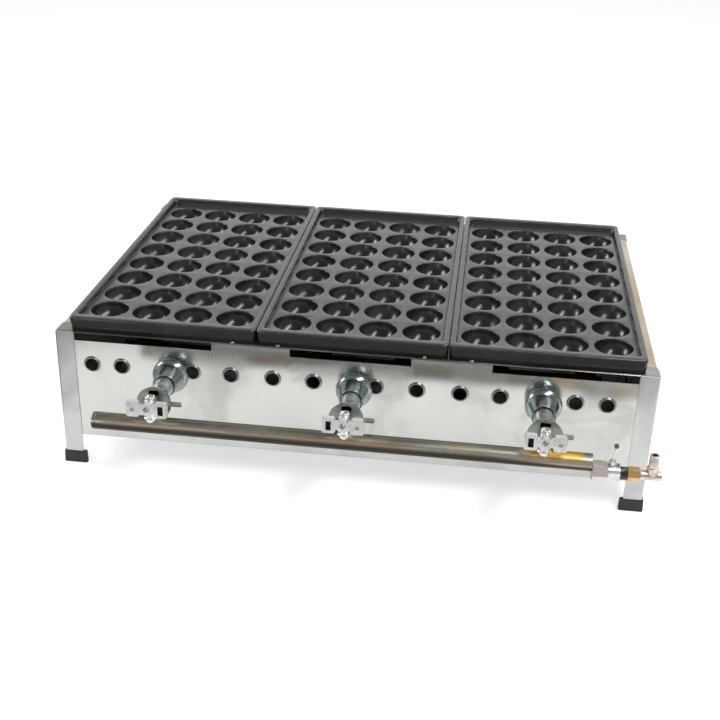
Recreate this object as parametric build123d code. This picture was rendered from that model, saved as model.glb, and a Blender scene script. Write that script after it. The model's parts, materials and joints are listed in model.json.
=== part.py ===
from build123d import *

import os

# Three-plate gas griddle for round dumplings, in millimetres.
# x runs to the right, y to the back and z up from the floor. The pieces are drawn about the
# middle of the casing and moved back by FOOTPRINT_SHIFT when they are written, so that the
# origin is the middle of the whole footprint, gas pipe and cocks included.

# Casing of bent stainless sheet on four corner angles
CASE_W = 626.0
CASE_D = 424.0
TOP_Z = 158.0
PANEL_BOTTOM_Z = 34.0
SHEET = 1.2
LEG = 20.0
LEG_SHEET = 1.5
LEG_BOTTOM_Z = 3.0
FLANGE_ENDS = 22.0
FLANGE_SIDES = 18.0
FLANGE_BOTTOM = 12.0
FOOT = 26.0
FOOT_H = 13.0
FOOT_WALL = 6.5
FOOT_PROUD = 2.0
FOOT_ROUND = 2.0

# Cast plates, three side by side
SIDES = ("left", "middle", "right")
PLATE_PITCH = 200.0
PLATE_W = 199.4
PLATE_L = 410.0
PLATE_H = 14.0
PLATE_DRAFT = 0.6
PLATE_ROUND = 6.0
RIM_SIDES = 6.0
RIM_ENDS = 10.0
RIM_DRAFT = 1.5
FACE_DROP = 7.5
DECK = 5.0
COLUMNS = 4
ROWS = 8
CUP_PITCH = 46.0
CUP_R = 20.25
CUP_WALL = 2.8
CUP_RISE = 1.2

# Windows and air holes of the front and rear panels
WINDOW_H = 8.8
WINDOW_INNER_X = 145.5
WINDOW_OUTER_X = 292.5
WINDOW_MIDDLE_X = 63.0
AIR_HOLE_R = 7.0
AIR_HOLE_Z = 121.6
AIR_HOLES_MIDDLE_X = -5.5
AIR_HOLES_FRONT = (32.4, 75.4, 120.0, 161.0, 237.5, 269.5)
AIR_HOLES_REAR = (77.0, 163.0, 238.0)
COLLAR_R = 9.5
COLLAR_H = 2.0

# Bridges that carry the plates' inner edges
BRIDGE_W = 14.0
BRIDGE_H = 18.0
BRIDGE_SHEET = 1.5
BRIDGE_TAB_W = 64.0
BRIDGE_TAB_L = 24.0
BRIDGE_SCREW_X = 24.0
BRIDGE_SCREW_Y = 207.5
BRIDGE_SCREW_R = 1.25
BRIDGE_SCREW_END = 2.0
BRIDGE_HEAD_R = 2.3
BRIDGE_HEAD_TOP_R = 1.4
BRIDGE_HEAD_H = 1.4

# Heat shield under the burners
SHIELD_SHEET = 1.0
SHIELD_RIM = 10.0
SHIELD_GAP = 1.5
SHIELD_SCREW_R = 2.0
SHIELD_SCREW_END = 3.0
SHIELD_HEAD_R = 3.8
SHIELD_HEAD_H = 2.2
SHIELD_SCREW_X = 240.0
SHIELD_SCREW_Y = 203.5

# Burners: a header and two slotted arms under each plate
BURNER_PITCH = 193.5
BURNERS_MIDDLE_X = 6.0
FLAME_Z = 120.4
ARM_R = 10.85
ARM_WALL = 2.3
ARM_X = 46.0
ARM_END_Y = 178.0
HEADER_Y = -172.0
HEADER_R = 13.0
HEADER_BORE_R = 9.0
SOCKET_R = 12.4
HEADER_END_X = 60.0
SOCKET_FRONT_Y = -200.0
SPIGOT_R = 10.0
SPIGOT_L = 30.0
FLAME_SLOT = 2.0
FLAME_SLOT_W = 12.0
CAP_R = 12.4
CAP_L = 7.0
CAP_END = 1.5
REST_Y = 150.0
REST_W = 20.0
REST_SHEET = 1.5
REST_H = 14.0

# Gas train in front of the casing; depths are measured forward from the front panel
MANIFOLD_DEPTH = 83.0
MANIFOLD_Z = 102.1
MANIFOLD_R = 8.65
MANIFOLD_BORE_R = 6.2
MANIFOLD_LEFT_X = -243.5
MANIFOLD_RIGHT_X = 246.5
MANIFOLD_END_WALL = 3.0
END_PLUG_L = 4.0
FIT = 0.02
RUNNING = 0.05
PAST = 1.0

MIXER_ROOT_R = 10.8
MIXER_ROOT_DEPTH = 2.4
BULB_SHOULDER = (16.4, 4.6)
BULB_CREST = (18.8, 9.5)
BULB_FLANK = (17.3, 23.0)
MOUTH_R = 12.8
MOUTH_DEPTH = 34.0
MOUTH_LIP = 0.7
MOUTH_FLOOR_DEPTH = 26.0
NECK = ((10.4, 26.0), (10.4, 42.0), (9.4, 52.0), (11.5, 62.0), (16.0, 66.0), (16.0, 70.0))
MIXER_BORE = ((14.5, 67.0), (9.5, 62.0), (7.0, 52.0), (7.0, -SPIGOT_L))
MIXER_FACE_DEPTH = 70.0
SPIDER = 3.0
PORT_W = 10.0
PORT_H = 5.5
PORT_R = 10.8
PORTS = 3
PORT_SPARE = 1.0
SPIGOT_HOLE_R = 10.4
SHUTTER_R = 17.5
SHUTTER = 1.2
SHUTTER_GAP = 0.3
SHUTTER_REACH = 28.0
SHUTTER_TAB_W = 5.5

NOZZLE_R = 4.0
NOZZLE_TIP_DEPTH = 66.0
NOZZLE_HEX_DEPTH = 72.2
NOZZLE_HEX = 9.0
NOZZLE_TAIL_R = 3.5
NOZZLE_TAIL_DEPTH = 78.0
NOZZLE_BORE_R = 1.2

COCK_Z = 126.4
COCK_STEM_R = 7.0
COCK_TOP_R = 5.0
COCK_TOP_Z = 133.8
COCK_RECESS_R = 3.7
COCK_RECESS = 1.6
COCK_TAIL_R = 5.0
COCK_TAIL_SINK = 0.5
COCK_BOSS_R = 6.0
COCK_BOSS_DEPTH = 75.2
JET_PASSAGE_R = 3.0
JET_PASSAGE_DEPTH = 80.2
COCK_BARREL_R = 6.2
COCK_BACK_DEPTH = 77.4
COCK_CHAMBER_DEPTH = 78.6
COCK_FRONT_DEPTH = 91.7
PLUG_R = 4.2
PLUG_BACK_DEPTH = 80.4
PLUG_PORT_R = 2.0
PLUG_SQUARE = 5.0
PLUG_TIP_DEPTH = 97.2
HANDLE_BACK_DEPTH = 92.2
HANDLE_FRONT_DEPTH = 98.2
HANDLE_HUB_R = 6.5
HANDLE_REACH = 20.5
HANDLE_TAB_W = 13.0
HANDLE_TAB_H = 16.0
HANDLE_TAB_ROUND = 2.5
HANDLE_WEB_H = 8.0
HANDLE_SLOT_W = 5.2
HANDLE_SLOT_H = 9.8
HANDLE_SLOT = 4.5
HANDLE_DIMPLE_R = 2.2
HANDLE_DIMPLE = 1.0
HANDLE_SCREW_R = 1.5
HANDLE_SCREW_L = 5.0
HANDLE_HEAD_R = 3.2
HANDLE_HEAD_H = 2.2

# Inlet at the right end of the manifold, set lower than the manifold
INLET_Z = 93.0
UNION_X = 246.5
UNION_L = 15.0
UNION_HEX = 18.5
UNION_WALL = 3.0
UNION_BORE_R = 6.5
VALVE_X = 261.5
VALVE_L = 11.5
VALVE_W = 16.0
VALVE_ROUND = 5.0
VALVE_SPIGOT_L = 8.0
VALVE_BORE_R = 4.0
STEM_X = 265.5
STEM_R = 3.0
STEM_BOTTOM_Z = 93.5
STEM_NECK_Z = 103.0
STEM_TOP_Z = 105.5
STEM_HEAD_R = 3.6
LEVER_R = 1.1
LEVER_ROOT_R = 2.2
LEVER_ROOT_H = 1.5
LEVER_RISE = 16.5
LEVER_LEAN = 1.5
LEVER_BALL_R = 2.5
ADAPTER_NECK_R = 6.3
ADAPTER_X = 280.5
ADAPTER_HEX_L = 12.0
ADAPTER_HEX = 12.5
ADAPTER_SOCKET_L = 5.0
HOSE_TUBE_R = 4.75
HOSE_BORE_R = 3.0
HOSE_END_X = 313.0
NIPPLE_X = 303.8
NIPPLE_COLLAR_R = 5.8
NIPPLE_COLLAR_Z = 102.5
NIPPLE_TOP_Z = 116.0
NIPPLE_GROOVE_R = 4.2
NIPPLE_GROOVES_Z = (110.5, 113.0)
NIPPLE_GROOVE = 1.0

# Worked out from the sizes above
PANEL_X = CASE_W / 2 - LEG_SHEET
PANEL_Y = CASE_D / 2 - LEG_SHEET
FACE_Z = TOP_Z + PLATE_H - FACE_DROP
CUP_CENTRE_Z = FACE_Z + CUP_RISE
MANIFOLD_Y = -PANEL_Y - MANIFOLD_DEPTH
FRONT_REACH = PANEL_Y + HANDLE_FRONT_DEPTH + HANDLE_HEAD_H
BACK_REACH = CASE_D / 2 + FOOT_PROUD
FOOTPRINT_SHIFT = (FRONT_REACH - BACK_REACH) / 2


def block(x0, x1, y0, y1, z0, z1):
    """A rectangular block between two corners."""
    middle = Pos((x0 + x1) / 2, (y0 + y1) / 2, (z0 + z1) / 2)
    return middle * Box(x1 - x0, y1 - y0, z1 - z0)


def upright(radius, x, y, z0, z1):
    """A round bar that stands on z."""
    return Pos(x, y, (z0 + z1) / 2) * Cylinder(radius, z1 - z0)


def crosswise(radius, x0, x1, y, z):
    """A round bar along x."""
    return Pos((x0 + x1) / 2, y, z) * Rot(0, 90, 0) * Cylinder(radius, x1 - x0)


def forward(radius, depth0, depth1, x, z=FLAME_Z):
    """A round bar along y, between two depths in front of the front panel."""
    y = -PANEL_Y - (depth0 + depth1) / 2
    return Pos(x, y, z) * Rot(90, 0, 0) * Cylinder(radius, depth1 - depth0)


def backward(radius, y0, y1, x):
    """A round bar along y at the flame tubes' height."""
    return Pos(x, (y0 + y1) / 2, FLAME_Z) * Rot(90, 0, 0) * Cylinder(radius, y1 - y0)


def prism_forward(sketch, depth0, depth1, x, z=FLAME_Z):
    """A sketch seen from the front, drawn out between two depths in front of the front panel."""
    plane = Plane(origin=(x, -PANEL_Y - depth0, z), x_dir=(1, 0, 0), z_dir=(0, -1, 0))
    return extrude(plane * sketch, depth1 - depth0)


def hexagon_crosswise(across_flats, x0, x1, y, z):
    """A hexagonal bar along x."""
    plane = Plane(origin=(x0, y, z), x_dir=(0, 1, 0), z_dir=(1, 0, 0))
    return extrude(plane * RegularPolygon(across_flats / 2, 6, major_radius=False), x1 - x0)


def write(name, shape):
    export_step(Pos(0, FOOTPRINT_SHIFT, 0) * shape, f"parts/{name}.step")


# ---- casing ----

def end_panel():
    """Front or rear panel, drawn as the front one: a wall with a top and a bottom flange."""
    back = -PANEL_Y + SHEET
    panel = block(-PANEL_X, PANEL_X, -PANEL_Y, back, PANEL_BOTTOM_Z, TOP_Z)
    panel += block(-PANEL_X, PANEL_X, -PANEL_Y, -PANEL_Y + FLANGE_ENDS, TOP_Z - SHEET, TOP_Z)
    panel += block(-PANEL_X + SHEET, PANEL_X - SHEET, -PANEL_Y, -PANEL_Y + FLANGE_BOTTOM,
                   PANEL_BOTTOM_Z, PANEL_BOTTOM_Z + SHEET)
    window_top = TOP_Z - SHEET
    spans = (
        (-WINDOW_OUTER_X, -WINDOW_INNER_X),
        (-WINDOW_MIDDLE_X, WINDOW_MIDDLE_X),
        (WINDOW_INNER_X, WINDOW_OUTER_X),
    )
    for x0, x1 in spans:
        panel -= block(x0, x1, -PANEL_Y - PAST, back + PAST, window_top - WINDOW_H, window_top)
    for x in bridge_screw_places():
        panel -= upright(BRIDGE_SCREW_R + FIT, x, -BRIDGE_SCREW_Y, window_top - PAST, TOP_Z + PAST)
    for x in (-SHIELD_SCREW_X, SHIELD_SCREW_X):
        panel -= upright(SHIELD_SCREW_R + FIT, x, -SHIELD_SCREW_Y,
                         PANEL_BOTTOM_Z - PAST, PANEL_BOTTOM_Z + SHEET + PAST)
    return panel


def both_ways(distances, middle_x=0.0):
    """Places at the given distances to the left and to the right of a middle."""
    return [middle_x + side * distance for distance in distances for side in (-1, 1)]


def front_panel():
    """The end panel with collared air holes and a hole for each burner's spigot."""
    places = both_ways(AIR_HOLES_FRONT, AIR_HOLES_MIDDLE_X)
    panel = end_panel()
    panel += [forward(COLLAR_R, 0, COLLAR_H, x, AIR_HOLE_Z) for x in places]
    panel -= [forward(AIR_HOLE_R, -SHEET - PAST, COLLAR_H + PAST, x, AIR_HOLE_Z) for x in places]
    return panel - [forward(SPIGOT_HOLE_R, -SHEET - PAST, PAST, burner_place(side))
                    for side in SIDES]


def rear_panel():
    """The end panel with plain air holes, turned to the back."""
    holes = [forward(AIR_HOLE_R, -SHEET - PAST, PAST, x, AIR_HOLE_Z)
             for x in both_ways(AIR_HOLES_REAR)]
    return Rot(0, 0, 180) * (end_panel() - holes)


def side_panel(side):
    """A plain wall with a top and a bottom flange, between the front and rear panels."""
    inside_y = PANEL_Y - SHEET
    flange_y = PANEL_Y - FLANGE_ENDS
    panel = block(PANEL_X - SHEET, PANEL_X, -inside_y, inside_y, PANEL_BOTTOM_Z, TOP_Z - SHEET)
    panel += block(PANEL_X - FLANGE_SIDES, PANEL_X, -flange_y, flange_y, TOP_Z - SHEET, TOP_Z)
    bottom_y = PANEL_Y - FLANGE_BOTTOM
    panel += block(PANEL_X - FLANGE_BOTTOM, PANEL_X, -bottom_y, bottom_y,
                   PANEL_BOTTOM_Z, PANEL_BOTTOM_Z + SHEET)
    return Rot(0, 0, 0 if side == "right" else 180) * panel


def leg(x_side, y_side):
    """A corner angle outside the panels, from the foot to the top of the casing."""
    outer_x, outer_y = CASE_W / 2, CASE_D / 2
    angle = block(outer_x - LEG, outer_x, outer_y - LEG, outer_y, LEG_BOTTOM_Z, TOP_Z)
    angle -= block(outer_x - LEG - PAST, PANEL_X, outer_y - LEG - PAST, PANEL_Y, 0, TOP_Z + PAST)
    return turned_to_corner(angle, x_side, y_side)


def turned_to_corner(shape, x_side, y_side):
    """A piece drawn at the right rear corner, mirrored to another corner."""
    if x_side < 0:
        shape = mirror(shape, Plane.YZ)
    if y_side < 0:
        shape = mirror(shape, Plane.XZ)
    return shape


def foot(x_side, y_side):
    """A rubber cap that follows the angle, with the angle's own outline as a slot."""
    outer_x, outer_y = CASE_W / 2, CASE_D / 2
    high_x, high_y = outer_x + FOOT_PROUD, outer_y + FOOT_PROUD
    cap = block(high_x - FOOT, high_x, high_y - FOOT, high_y, 0, FOOT_H)
    cap -= block(high_x - FOOT - PAST, high_x - FOOT_WALL, high_y - FOOT - PAST, high_y - FOOT_WALL,
                 -PAST, FOOT_H + PAST)
    cap = fillet(cap.edges().filter_by(Axis.Z), FOOT_ROUND)
    slot = block(outer_x - LEG, outer_x, outer_y - LEG, outer_y, LEG_BOTTOM_Z, FOOT_H + PAST)
    slot -= block(outer_x - LEG - PAST, PANEL_X, outer_y - LEG - PAST, PANEL_Y, 0, FOOT_H + 2 * PAST)
    return turned_to_corner(cap - slot, x_side, y_side)


def bridge(side):
    """An inverted channel between two plates, with screwed tabs under the end flanges."""
    x = bridge_place(side)
    end_y = PANEL_Y - FLANGE_ENDS - FIT
    channel = block(-BRIDGE_W / 2, BRIDGE_W / 2, -end_y, end_y, TOP_Z - BRIDGE_H, TOP_Z)
    inner = BRIDGE_W / 2 - BRIDGE_SHEET
    channel -= block(-inner, inner, -end_y - PAST, end_y + PAST,
                     TOP_Z - BRIDGE_H - PAST, TOP_Z - BRIDGE_SHEET)
    tab_top = TOP_Z - SHEET
    tab_out = PANEL_Y - SHEET
    for y_side in (-1, 1):
        low, high = sorted((y_side * tab_out, y_side * (tab_out - BRIDGE_TAB_L)))
        channel += block(-BRIDGE_TAB_W / 2, BRIDGE_TAB_W / 2, low, high,
                         tab_top - BRIDGE_SHEET, tab_top)
        for screw_x in (-BRIDGE_SCREW_X, BRIDGE_SCREW_X):
            channel -= upright(BRIDGE_SCREW_R + FIT, screw_x, y_side * BRIDGE_SCREW_Y,
                               tab_top - BRIDGE_SHEET - PAST, tab_top + PAST)
    return Pos(x, 0, 0) * channel


def bridge_place(side):
    return PLATE_PITCH / 2 if side == "right" else -PLATE_PITCH / 2


def bridge_screw_places():
    """Where the bridges' screws go through an end flange."""
    offsets = (-BRIDGE_SCREW_X, BRIDGE_SCREW_X)
    return [bridge_place(side) + offset for side in ("left", "right") for offset in offsets]


def bridge_screws():
    """Eight pan-head screws on the lips in front of and behind the plates."""
    screws = []
    shank_bottom = TOP_Z - SHEET - BRIDGE_SHEET - BRIDGE_SCREW_END
    for x in bridge_screw_places():
        for y in (-BRIDGE_SCREW_Y, BRIDGE_SCREW_Y):
            head = Pos(x, y, TOP_Z + BRIDGE_HEAD_H / 2) * Cone(
                BRIDGE_HEAD_R, BRIDGE_HEAD_TOP_R, BRIDGE_HEAD_H)
            screws.append(head + upright(BRIDGE_SCREW_R, x, y, shank_bottom, TOP_Z))
    return Compound(screws)


def bottom_shield():
    """A shallow pan on the bottom flanges, under the burners."""
    half_x = PANEL_X - SHEET - SHIELD_GAP
    half_y = PANEL_Y - SHEET - SHIELD_GAP
    floor_z = PANEL_BOTTOM_Z + SHEET
    pan = block(-half_x, half_x, -half_y, half_y, floor_z, floor_z + SHIELD_RIM)
    pan -= block(-half_x + SHIELD_SHEET, half_x - SHIELD_SHEET, -half_y + SHIELD_SHEET,
                 half_y - SHIELD_SHEET, floor_z + SHIELD_SHEET, floor_z + SHIELD_RIM + PAST)
    for x, y in shield_screw_places():
        pan -= upright(SHIELD_SCREW_R + FIT, x, y, floor_z - PAST, floor_z + SHIELD_SHEET + PAST)
    return pan


def shield_screw_places():
    return [(x, y) for x in (-SHIELD_SCREW_X, SHIELD_SCREW_X)
            for y in (-SHIELD_SCREW_Y, SHIELD_SCREW_Y)]


def shield_screws():
    """Four screws from below, through the bottom flanges into the pan."""
    screws = []
    for x, y in shield_screw_places():
        head = upright(SHIELD_HEAD_R, x, y, PANEL_BOTTOM_Z - SHIELD_HEAD_H, PANEL_BOTTOM_Z)
        tip_z = PANEL_BOTTOM_Z + SHEET + SHIELD_SHEET + SHIELD_SCREW_END
        screws.append(head + upright(SHIELD_SCREW_R, x, y, PANEL_BOTTOM_Z, tip_z))
    return Compound(screws)


# ---- plates ----

def plate_centre(side):
    return (SIDES.index(side) - 1) * PLATE_PITCH


def tapered_block(width0, length0, z0, width1, length1, z1, corner):
    """A block with rounded corners and drafted sides."""
    low = Pos(0, 0, z0) * RectangleRounded(width0, length0, corner)
    high = Pos(0, 0, z1) * RectangleRounded(width1, length1, corner)
    return loft([low, high])


def plate(side):
    """A cast tray with a rim all round, a thin deck and a bowl under every cup."""
    body = tapered_block(
        PLATE_W - 2 * PLATE_DRAFT, PLATE_L - 2 * PLATE_DRAFT, TOP_Z,
        PLATE_W, PLATE_L, TOP_Z + PLATE_H, PLATE_ROUND)
    tray_w, tray_l = PLATE_W - 2 * RIM_SIDES, PLATE_L - 2 * RIM_ENDS
    body -= tapered_block(
        tray_w - 2 * RIM_DRAFT, tray_l - 2 * RIM_DRAFT, FACE_Z,
        tray_w, tray_l, TOP_Z + PLATE_H, PLATE_ROUND - RIM_DRAFT)
    deck_z = FACE_Z - DECK
    body -= block(-tray_w / 2 + RIM_DRAFT, tray_w / 2 - RIM_DRAFT, -tray_l / 2 + RIM_DRAFT,
                  tray_l / 2 - RIM_DRAFT, TOP_Z - PAST, deck_z)
    cups = GridLocations(CUP_PITCH, CUP_PITCH, COLUMNS, ROWS)
    below_face = block(-CUP_PITCH, CUP_PITCH, -CUP_PITCH, CUP_PITCH, TOP_Z - CUP_PITCH, deck_z + PAST)
    bowl = (Pos(0, 0, CUP_CENTRE_Z) * Sphere(CUP_R + CUP_WALL)) & below_face
    body += [place * bowl for place in cups]
    body -= [place * Pos(0, 0, CUP_CENTRE_Z) * Sphere(CUP_R) for place in cups]
    return Pos(plate_centre(side), 0, 0) * body


# ---- burners ----

def burner_place(side):
    return BURNERS_MIDDLE_X + (SIDES.index(side) - 1) * BURNER_PITCH


def burner(side):
    """A header across the front and two arms, saw-cut across the top under each row of cups."""
    casting = crosswise(HEADER_R, -HEADER_END_X, HEADER_END_X, HEADER_Y, FLAME_Z)
    casting += backward(SOCKET_R, SOCKET_FRONT_Y, HEADER_Y, 0)
    casting += [backward(ARM_R, HEADER_Y, ARM_END_Y, x) for x in (-ARM_X, ARM_X)]
    hollow_x = HEADER_END_X - ARM_WALL
    casting -= crosswise(HEADER_BORE_R, -hollow_x, hollow_x, HEADER_Y, FLAME_Z)
    casting -= backward(SPIGOT_R, SOCKET_FRONT_Y - PAST, HEADER_Y, 0)
    for x in (-ARM_X, ARM_X):
        casting -= backward(ARM_R - ARM_WALL, HEADER_Y, ARM_END_Y + PAST, x)
        for y in flame_slots():
            casting -= block(x - FLAME_SLOT_W / 2, x + FLAME_SLOT_W / 2, y - FLAME_SLOT / 2,
                             y + FLAME_SLOT / 2, FLAME_Z + ARM_WALL, FLAME_Z + ARM_R + PAST)
    return Pos(burner_place(side), 0, 0) * casting


def flame_slots():
    """Distances along an arm to its saw cuts: two under each row of cups."""
    rows = [(row - (ROWS - 1) / 2) * CUP_PITCH for row in range(ROWS)]
    cuts = [y + offset for y in rows for offset in (-CUP_PITCH / 4, CUP_PITCH / 4)]
    return [y for y in cuts if HEADER_Y + HEADER_R < y < ARM_END_Y - CAP_L]


def burner_end_caps(side):
    """Two caps pressed over the arms' rear ends."""
    caps = []
    for x in (-ARM_X, ARM_X):
        cap = backward(CAP_R, ARM_END_Y + CAP_END - CAP_L, ARM_END_Y + CAP_END, x)
        caps.append(cap - backward(ARM_R + FIT, ARM_END_Y - CAP_L, ARM_END_Y, x))
    return Pos(burner_place(side), 0, 0) * Compound(caps)


def burner_rest():
    """An angle from side to side under the burners' rear ends."""
    half_x = PANEL_X - SHEET
    top_z = FLAME_Z - ARM_R
    rest = block(-half_x, half_x, REST_Y, REST_Y + REST_W, top_z - REST_SHEET, top_z)
    return rest + block(-half_x, half_x, REST_Y, REST_Y + REST_SHEET, top_z - REST_H, top_z)


# ---- gas train ----

def ports(width, height, depth0, depth1, x):
    """Three windows round the axis, the first at the top."""
    cutters = []
    for turn in range(PORTS):
        window = Rot(0, 0, turn * 360 / PORTS) * Pos(0, PORT_R, 0) * Rectangle(width, height)
        cutters.append(prism_forward(window, depth0, depth1, x))
    return cutters


def mixer(side):
    """Gas and air mixer: a hollow bulb on the panel, a waisted neck and a face with three ports."""
    x = burner_place(side)
    root = (MIXER_ROOT_R, MIXER_ROOT_DEPTH)
    mouth = (MOUTH_R, MOUTH_DEPTH)
    lip_r = MOUTH_R - MOUTH_LIP
    face_in = MIXER_FACE_DEPTH - SPIDER
    outline = Polyline((SPIGOT_R, -SPIGOT_L), (SPIGOT_R, 0), (MIXER_ROOT_R, 0), root)
    outline += ThreePointArc(root, BULB_SHOULDER, BULB_CREST)
    outline += ThreePointArc(BULB_CREST, BULB_FLANK, mouth)
    outline += Polyline(mouth, (lip_r, MOUTH_DEPTH), (lip_r, MOUTH_FLOOR_DEPTH), *NECK,
                        (0, MIXER_FACE_DEPTH), (0, face_in), *MIXER_BORE, (SPIGOT_R, -SPIGOT_L))
    plane = Plane(origin=(x, -PANEL_Y, FLAME_Z), x_dir=(1, 0, 0), z_dir=(0, 0, 1))
    axis = Axis((x, -PANEL_Y, FLAME_Z), (0, -1, 0))
    body = revolve(plane * mirror(make_face(outline), Plane.XZ), axis)
    body -= ports(PORT_W + PORT_SPARE, PORT_H + PORT_SPARE,
                  face_in - PAST, MIXER_FACE_DEPTH + PAST, x)
    return body - forward(NOZZLE_R + FIT, face_in - PAST, MIXER_FACE_DEPTH + PAST, x)


def air_shutter(side):
    """A sheet disc with the same three ports and a finger tab, free to turn on the nozzle."""
    x = burner_place(side)
    back = MIXER_FACE_DEPTH + SHUTTER_GAP
    disc = Circle(SHUTTER_R) + Pos(SHUTTER_REACH / 2, 0) * Rectangle(SHUTTER_REACH, SHUTTER_TAB_W)
    disc -= Circle(NOZZLE_R + RUNNING)
    shutter = prism_forward(disc, back, back + SHUTTER, x)
    return shutter - ports(PORT_W, PORT_H, back - PAST, back + SHUTTER + PAST, x)


def gas_nozzle(side):
    """A brass jet screwed into the cock, whose tip is held in the mixer's inlet face."""
    x = burner_place(side)
    jet = forward(NOZZLE_R, NOZZLE_TIP_DEPTH, NOZZLE_HEX_DEPTH, x)
    hexagon = RegularPolygon(NOZZLE_HEX / 2, 6, major_radius=False)
    jet += prism_forward(hexagon, NOZZLE_HEX_DEPTH, COCK_BOSS_DEPTH, x)
    jet += forward(NOZZLE_TAIL_R, COCK_BOSS_DEPTH, NOZZLE_TAIL_DEPTH, x)
    return jet - forward(NOZZLE_BORE_R, NOZZLE_TIP_DEPTH - PAST, NOZZLE_TAIL_DEPTH + PAST, x)


def cock_body(side):
    """A stem on the manifold with a barrel for the plug and, below it, a boss for the jet."""
    x = burner_place(side)
    body = upright(COCK_STEM_R, x, MANIFOLD_Y, MANIFOLD_Z, COCK_Z)
    body += upright(COCK_TOP_R, x, MANIFOLD_Y, COCK_Z, COCK_TOP_Z)
    body += forward(COCK_BARREL_R, COCK_BACK_DEPTH, COCK_FRONT_DEPTH, x, COCK_Z)
    body += forward(COCK_BOSS_R, COCK_BOSS_DEPTH, MANIFOLD_DEPTH, x)
    body -= crosswise(MANIFOLD_R + FIT, x - 2 * COCK_STEM_R, x + 2 * COCK_STEM_R,
                      MANIFOLD_Y, MANIFOLD_Z)
    body += upright(COCK_TAIL_R, x, MANIFOLD_Y, MANIFOLD_Z + MANIFOLD_BORE_R - COCK_TAIL_SINK,
                    MANIFOLD_Z + MANIFOLD_R + PAST)
    body -= forward(PLUG_R + RUNNING, COCK_CHAMBER_DEPTH, COCK_FRONT_DEPTH + PAST, x, COCK_Z)
    body -= forward(NOZZLE_TAIL_R + FIT, COCK_BOSS_DEPTH - PAST, NOZZLE_TAIL_DEPTH, x)
    body -= forward(JET_PASSAGE_R, COCK_BOSS_DEPTH, JET_PASSAGE_DEPTH, x)
    body -= upright(COCK_RECESS_R, x, MANIFOLD_Y, COCK_TOP_Z - COCK_RECESS, COCK_TOP_Z + PAST)
    return body - upright(PLUG_PORT_R, x, MANIFOLD_Y, MANIFOLD_Z, COCK_Z - PLUG_R)


def slot_side(side):
    """Which end of a cock's handle has the slot; its port is drilled on the same side."""
    return 1 if side == "left" else -1


def cock_plug(side):
    """The turning plug: a side port into a bore to the back, and a square end for the handle."""
    x = burner_place(side)
    plug = forward(PLUG_R, PLUG_BACK_DEPTH + RUNNING, HANDLE_BACK_DEPTH, x, COCK_Z)
    plug += prism_forward(Rectangle(PLUG_SQUARE, PLUG_SQUARE), HANDLE_BACK_DEPTH, PLUG_TIP_DEPTH,
                          x, COCK_Z)
    plug -= forward(PLUG_PORT_R, PLUG_BACK_DEPTH - PAST, MANIFOLD_DEPTH + PLUG_PORT_R, x, COCK_Z)
    low_x, high_x = sorted((x, x + slot_side(side) * (PLUG_R + PAST)))
    plug -= crosswise(PLUG_PORT_R, low_x, high_x, MANIFOLD_Y, COCK_Z)
    screw_depth = HANDLE_FRONT_DEPTH - HANDLE_SCREW_L
    return plug - forward(HANDLE_SCREW_R, screw_depth, PLUG_TIP_DEPTH + PAST, x, COCK_Z)


def cock_handle(side):
    """A butterfly handle: two tabs on a hub, one with a slot and one with a dimple."""
    x = burner_place(side)
    tab_x = HANDLE_REACH - HANDLE_TAB_W / 2
    slot_x = slot_side(side) * tab_x
    outline = Circle(HANDLE_HUB_R) + Rectangle(2 * tab_x, HANDLE_WEB_H)
    for tab_side in (-1, 1):
        outline += Pos(tab_side * tab_x, 0) * RectangleRounded(
            HANDLE_TAB_W, HANDLE_TAB_H, HANDLE_TAB_ROUND)
    handle = prism_forward(outline, HANDLE_BACK_DEPTH, HANDLE_FRONT_DEPTH, x, COCK_Z)
    handle -= prism_forward(Pos(slot_x, 0) * Rectangle(HANDLE_SLOT_W, HANDLE_SLOT_H),
                            HANDLE_FRONT_DEPTH - HANDLE_SLOT, HANDLE_FRONT_DEPTH + PAST, x, COCK_Z)
    handle -= prism_forward(Rectangle(PLUG_SQUARE, PLUG_SQUARE), HANDLE_BACK_DEPTH - PAST,
                            PLUG_TIP_DEPTH, x, COCK_Z)
    handle -= forward(HANDLE_SCREW_R, PLUG_TIP_DEPTH - PAST, HANDLE_FRONT_DEPTH + PAST, x, COCK_Z)
    return handle - forward(HANDLE_DIMPLE_R, HANDLE_FRONT_DEPTH - HANDLE_DIMPLE,
                            HANDLE_FRONT_DEPTH + PAST, x - slot_x, COCK_Z)


def cock_screw(side):
    """The screw that holds the handle on the plug."""
    x = burner_place(side)
    shank_start = HANDLE_FRONT_DEPTH - HANDLE_SCREW_L
    shank = forward(HANDLE_SCREW_R, shank_start, HANDLE_FRONT_DEPTH, x, COCK_Z)
    return shank + forward(HANDLE_HEAD_R, HANDLE_FRONT_DEPTH, HANDLE_FRONT_DEPTH + HANDLE_HEAD_H,
                           x, COCK_Z)


def manifold_pipe():
    """The gas pipe along the front, with a hole on top for each cock and a closed right end."""
    pipe = crosswise(MANIFOLD_R, MANIFOLD_LEFT_X, MANIFOLD_RIGHT_X, MANIFOLD_Y, MANIFOLD_Z)
    pipe -= crosswise(MANIFOLD_BORE_R, MANIFOLD_LEFT_X - PAST, MANIFOLD_RIGHT_X - MANIFOLD_END_WALL,
                      MANIFOLD_Y, MANIFOLD_Z)
    for side in SIDES:
        pipe -= upright(COCK_TAIL_R, burner_place(side), MANIFOLD_Y,
                        MANIFOLD_Z, MANIFOLD_Z + MANIFOLD_R + PAST)
    return pipe - inlet_passage()


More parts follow.
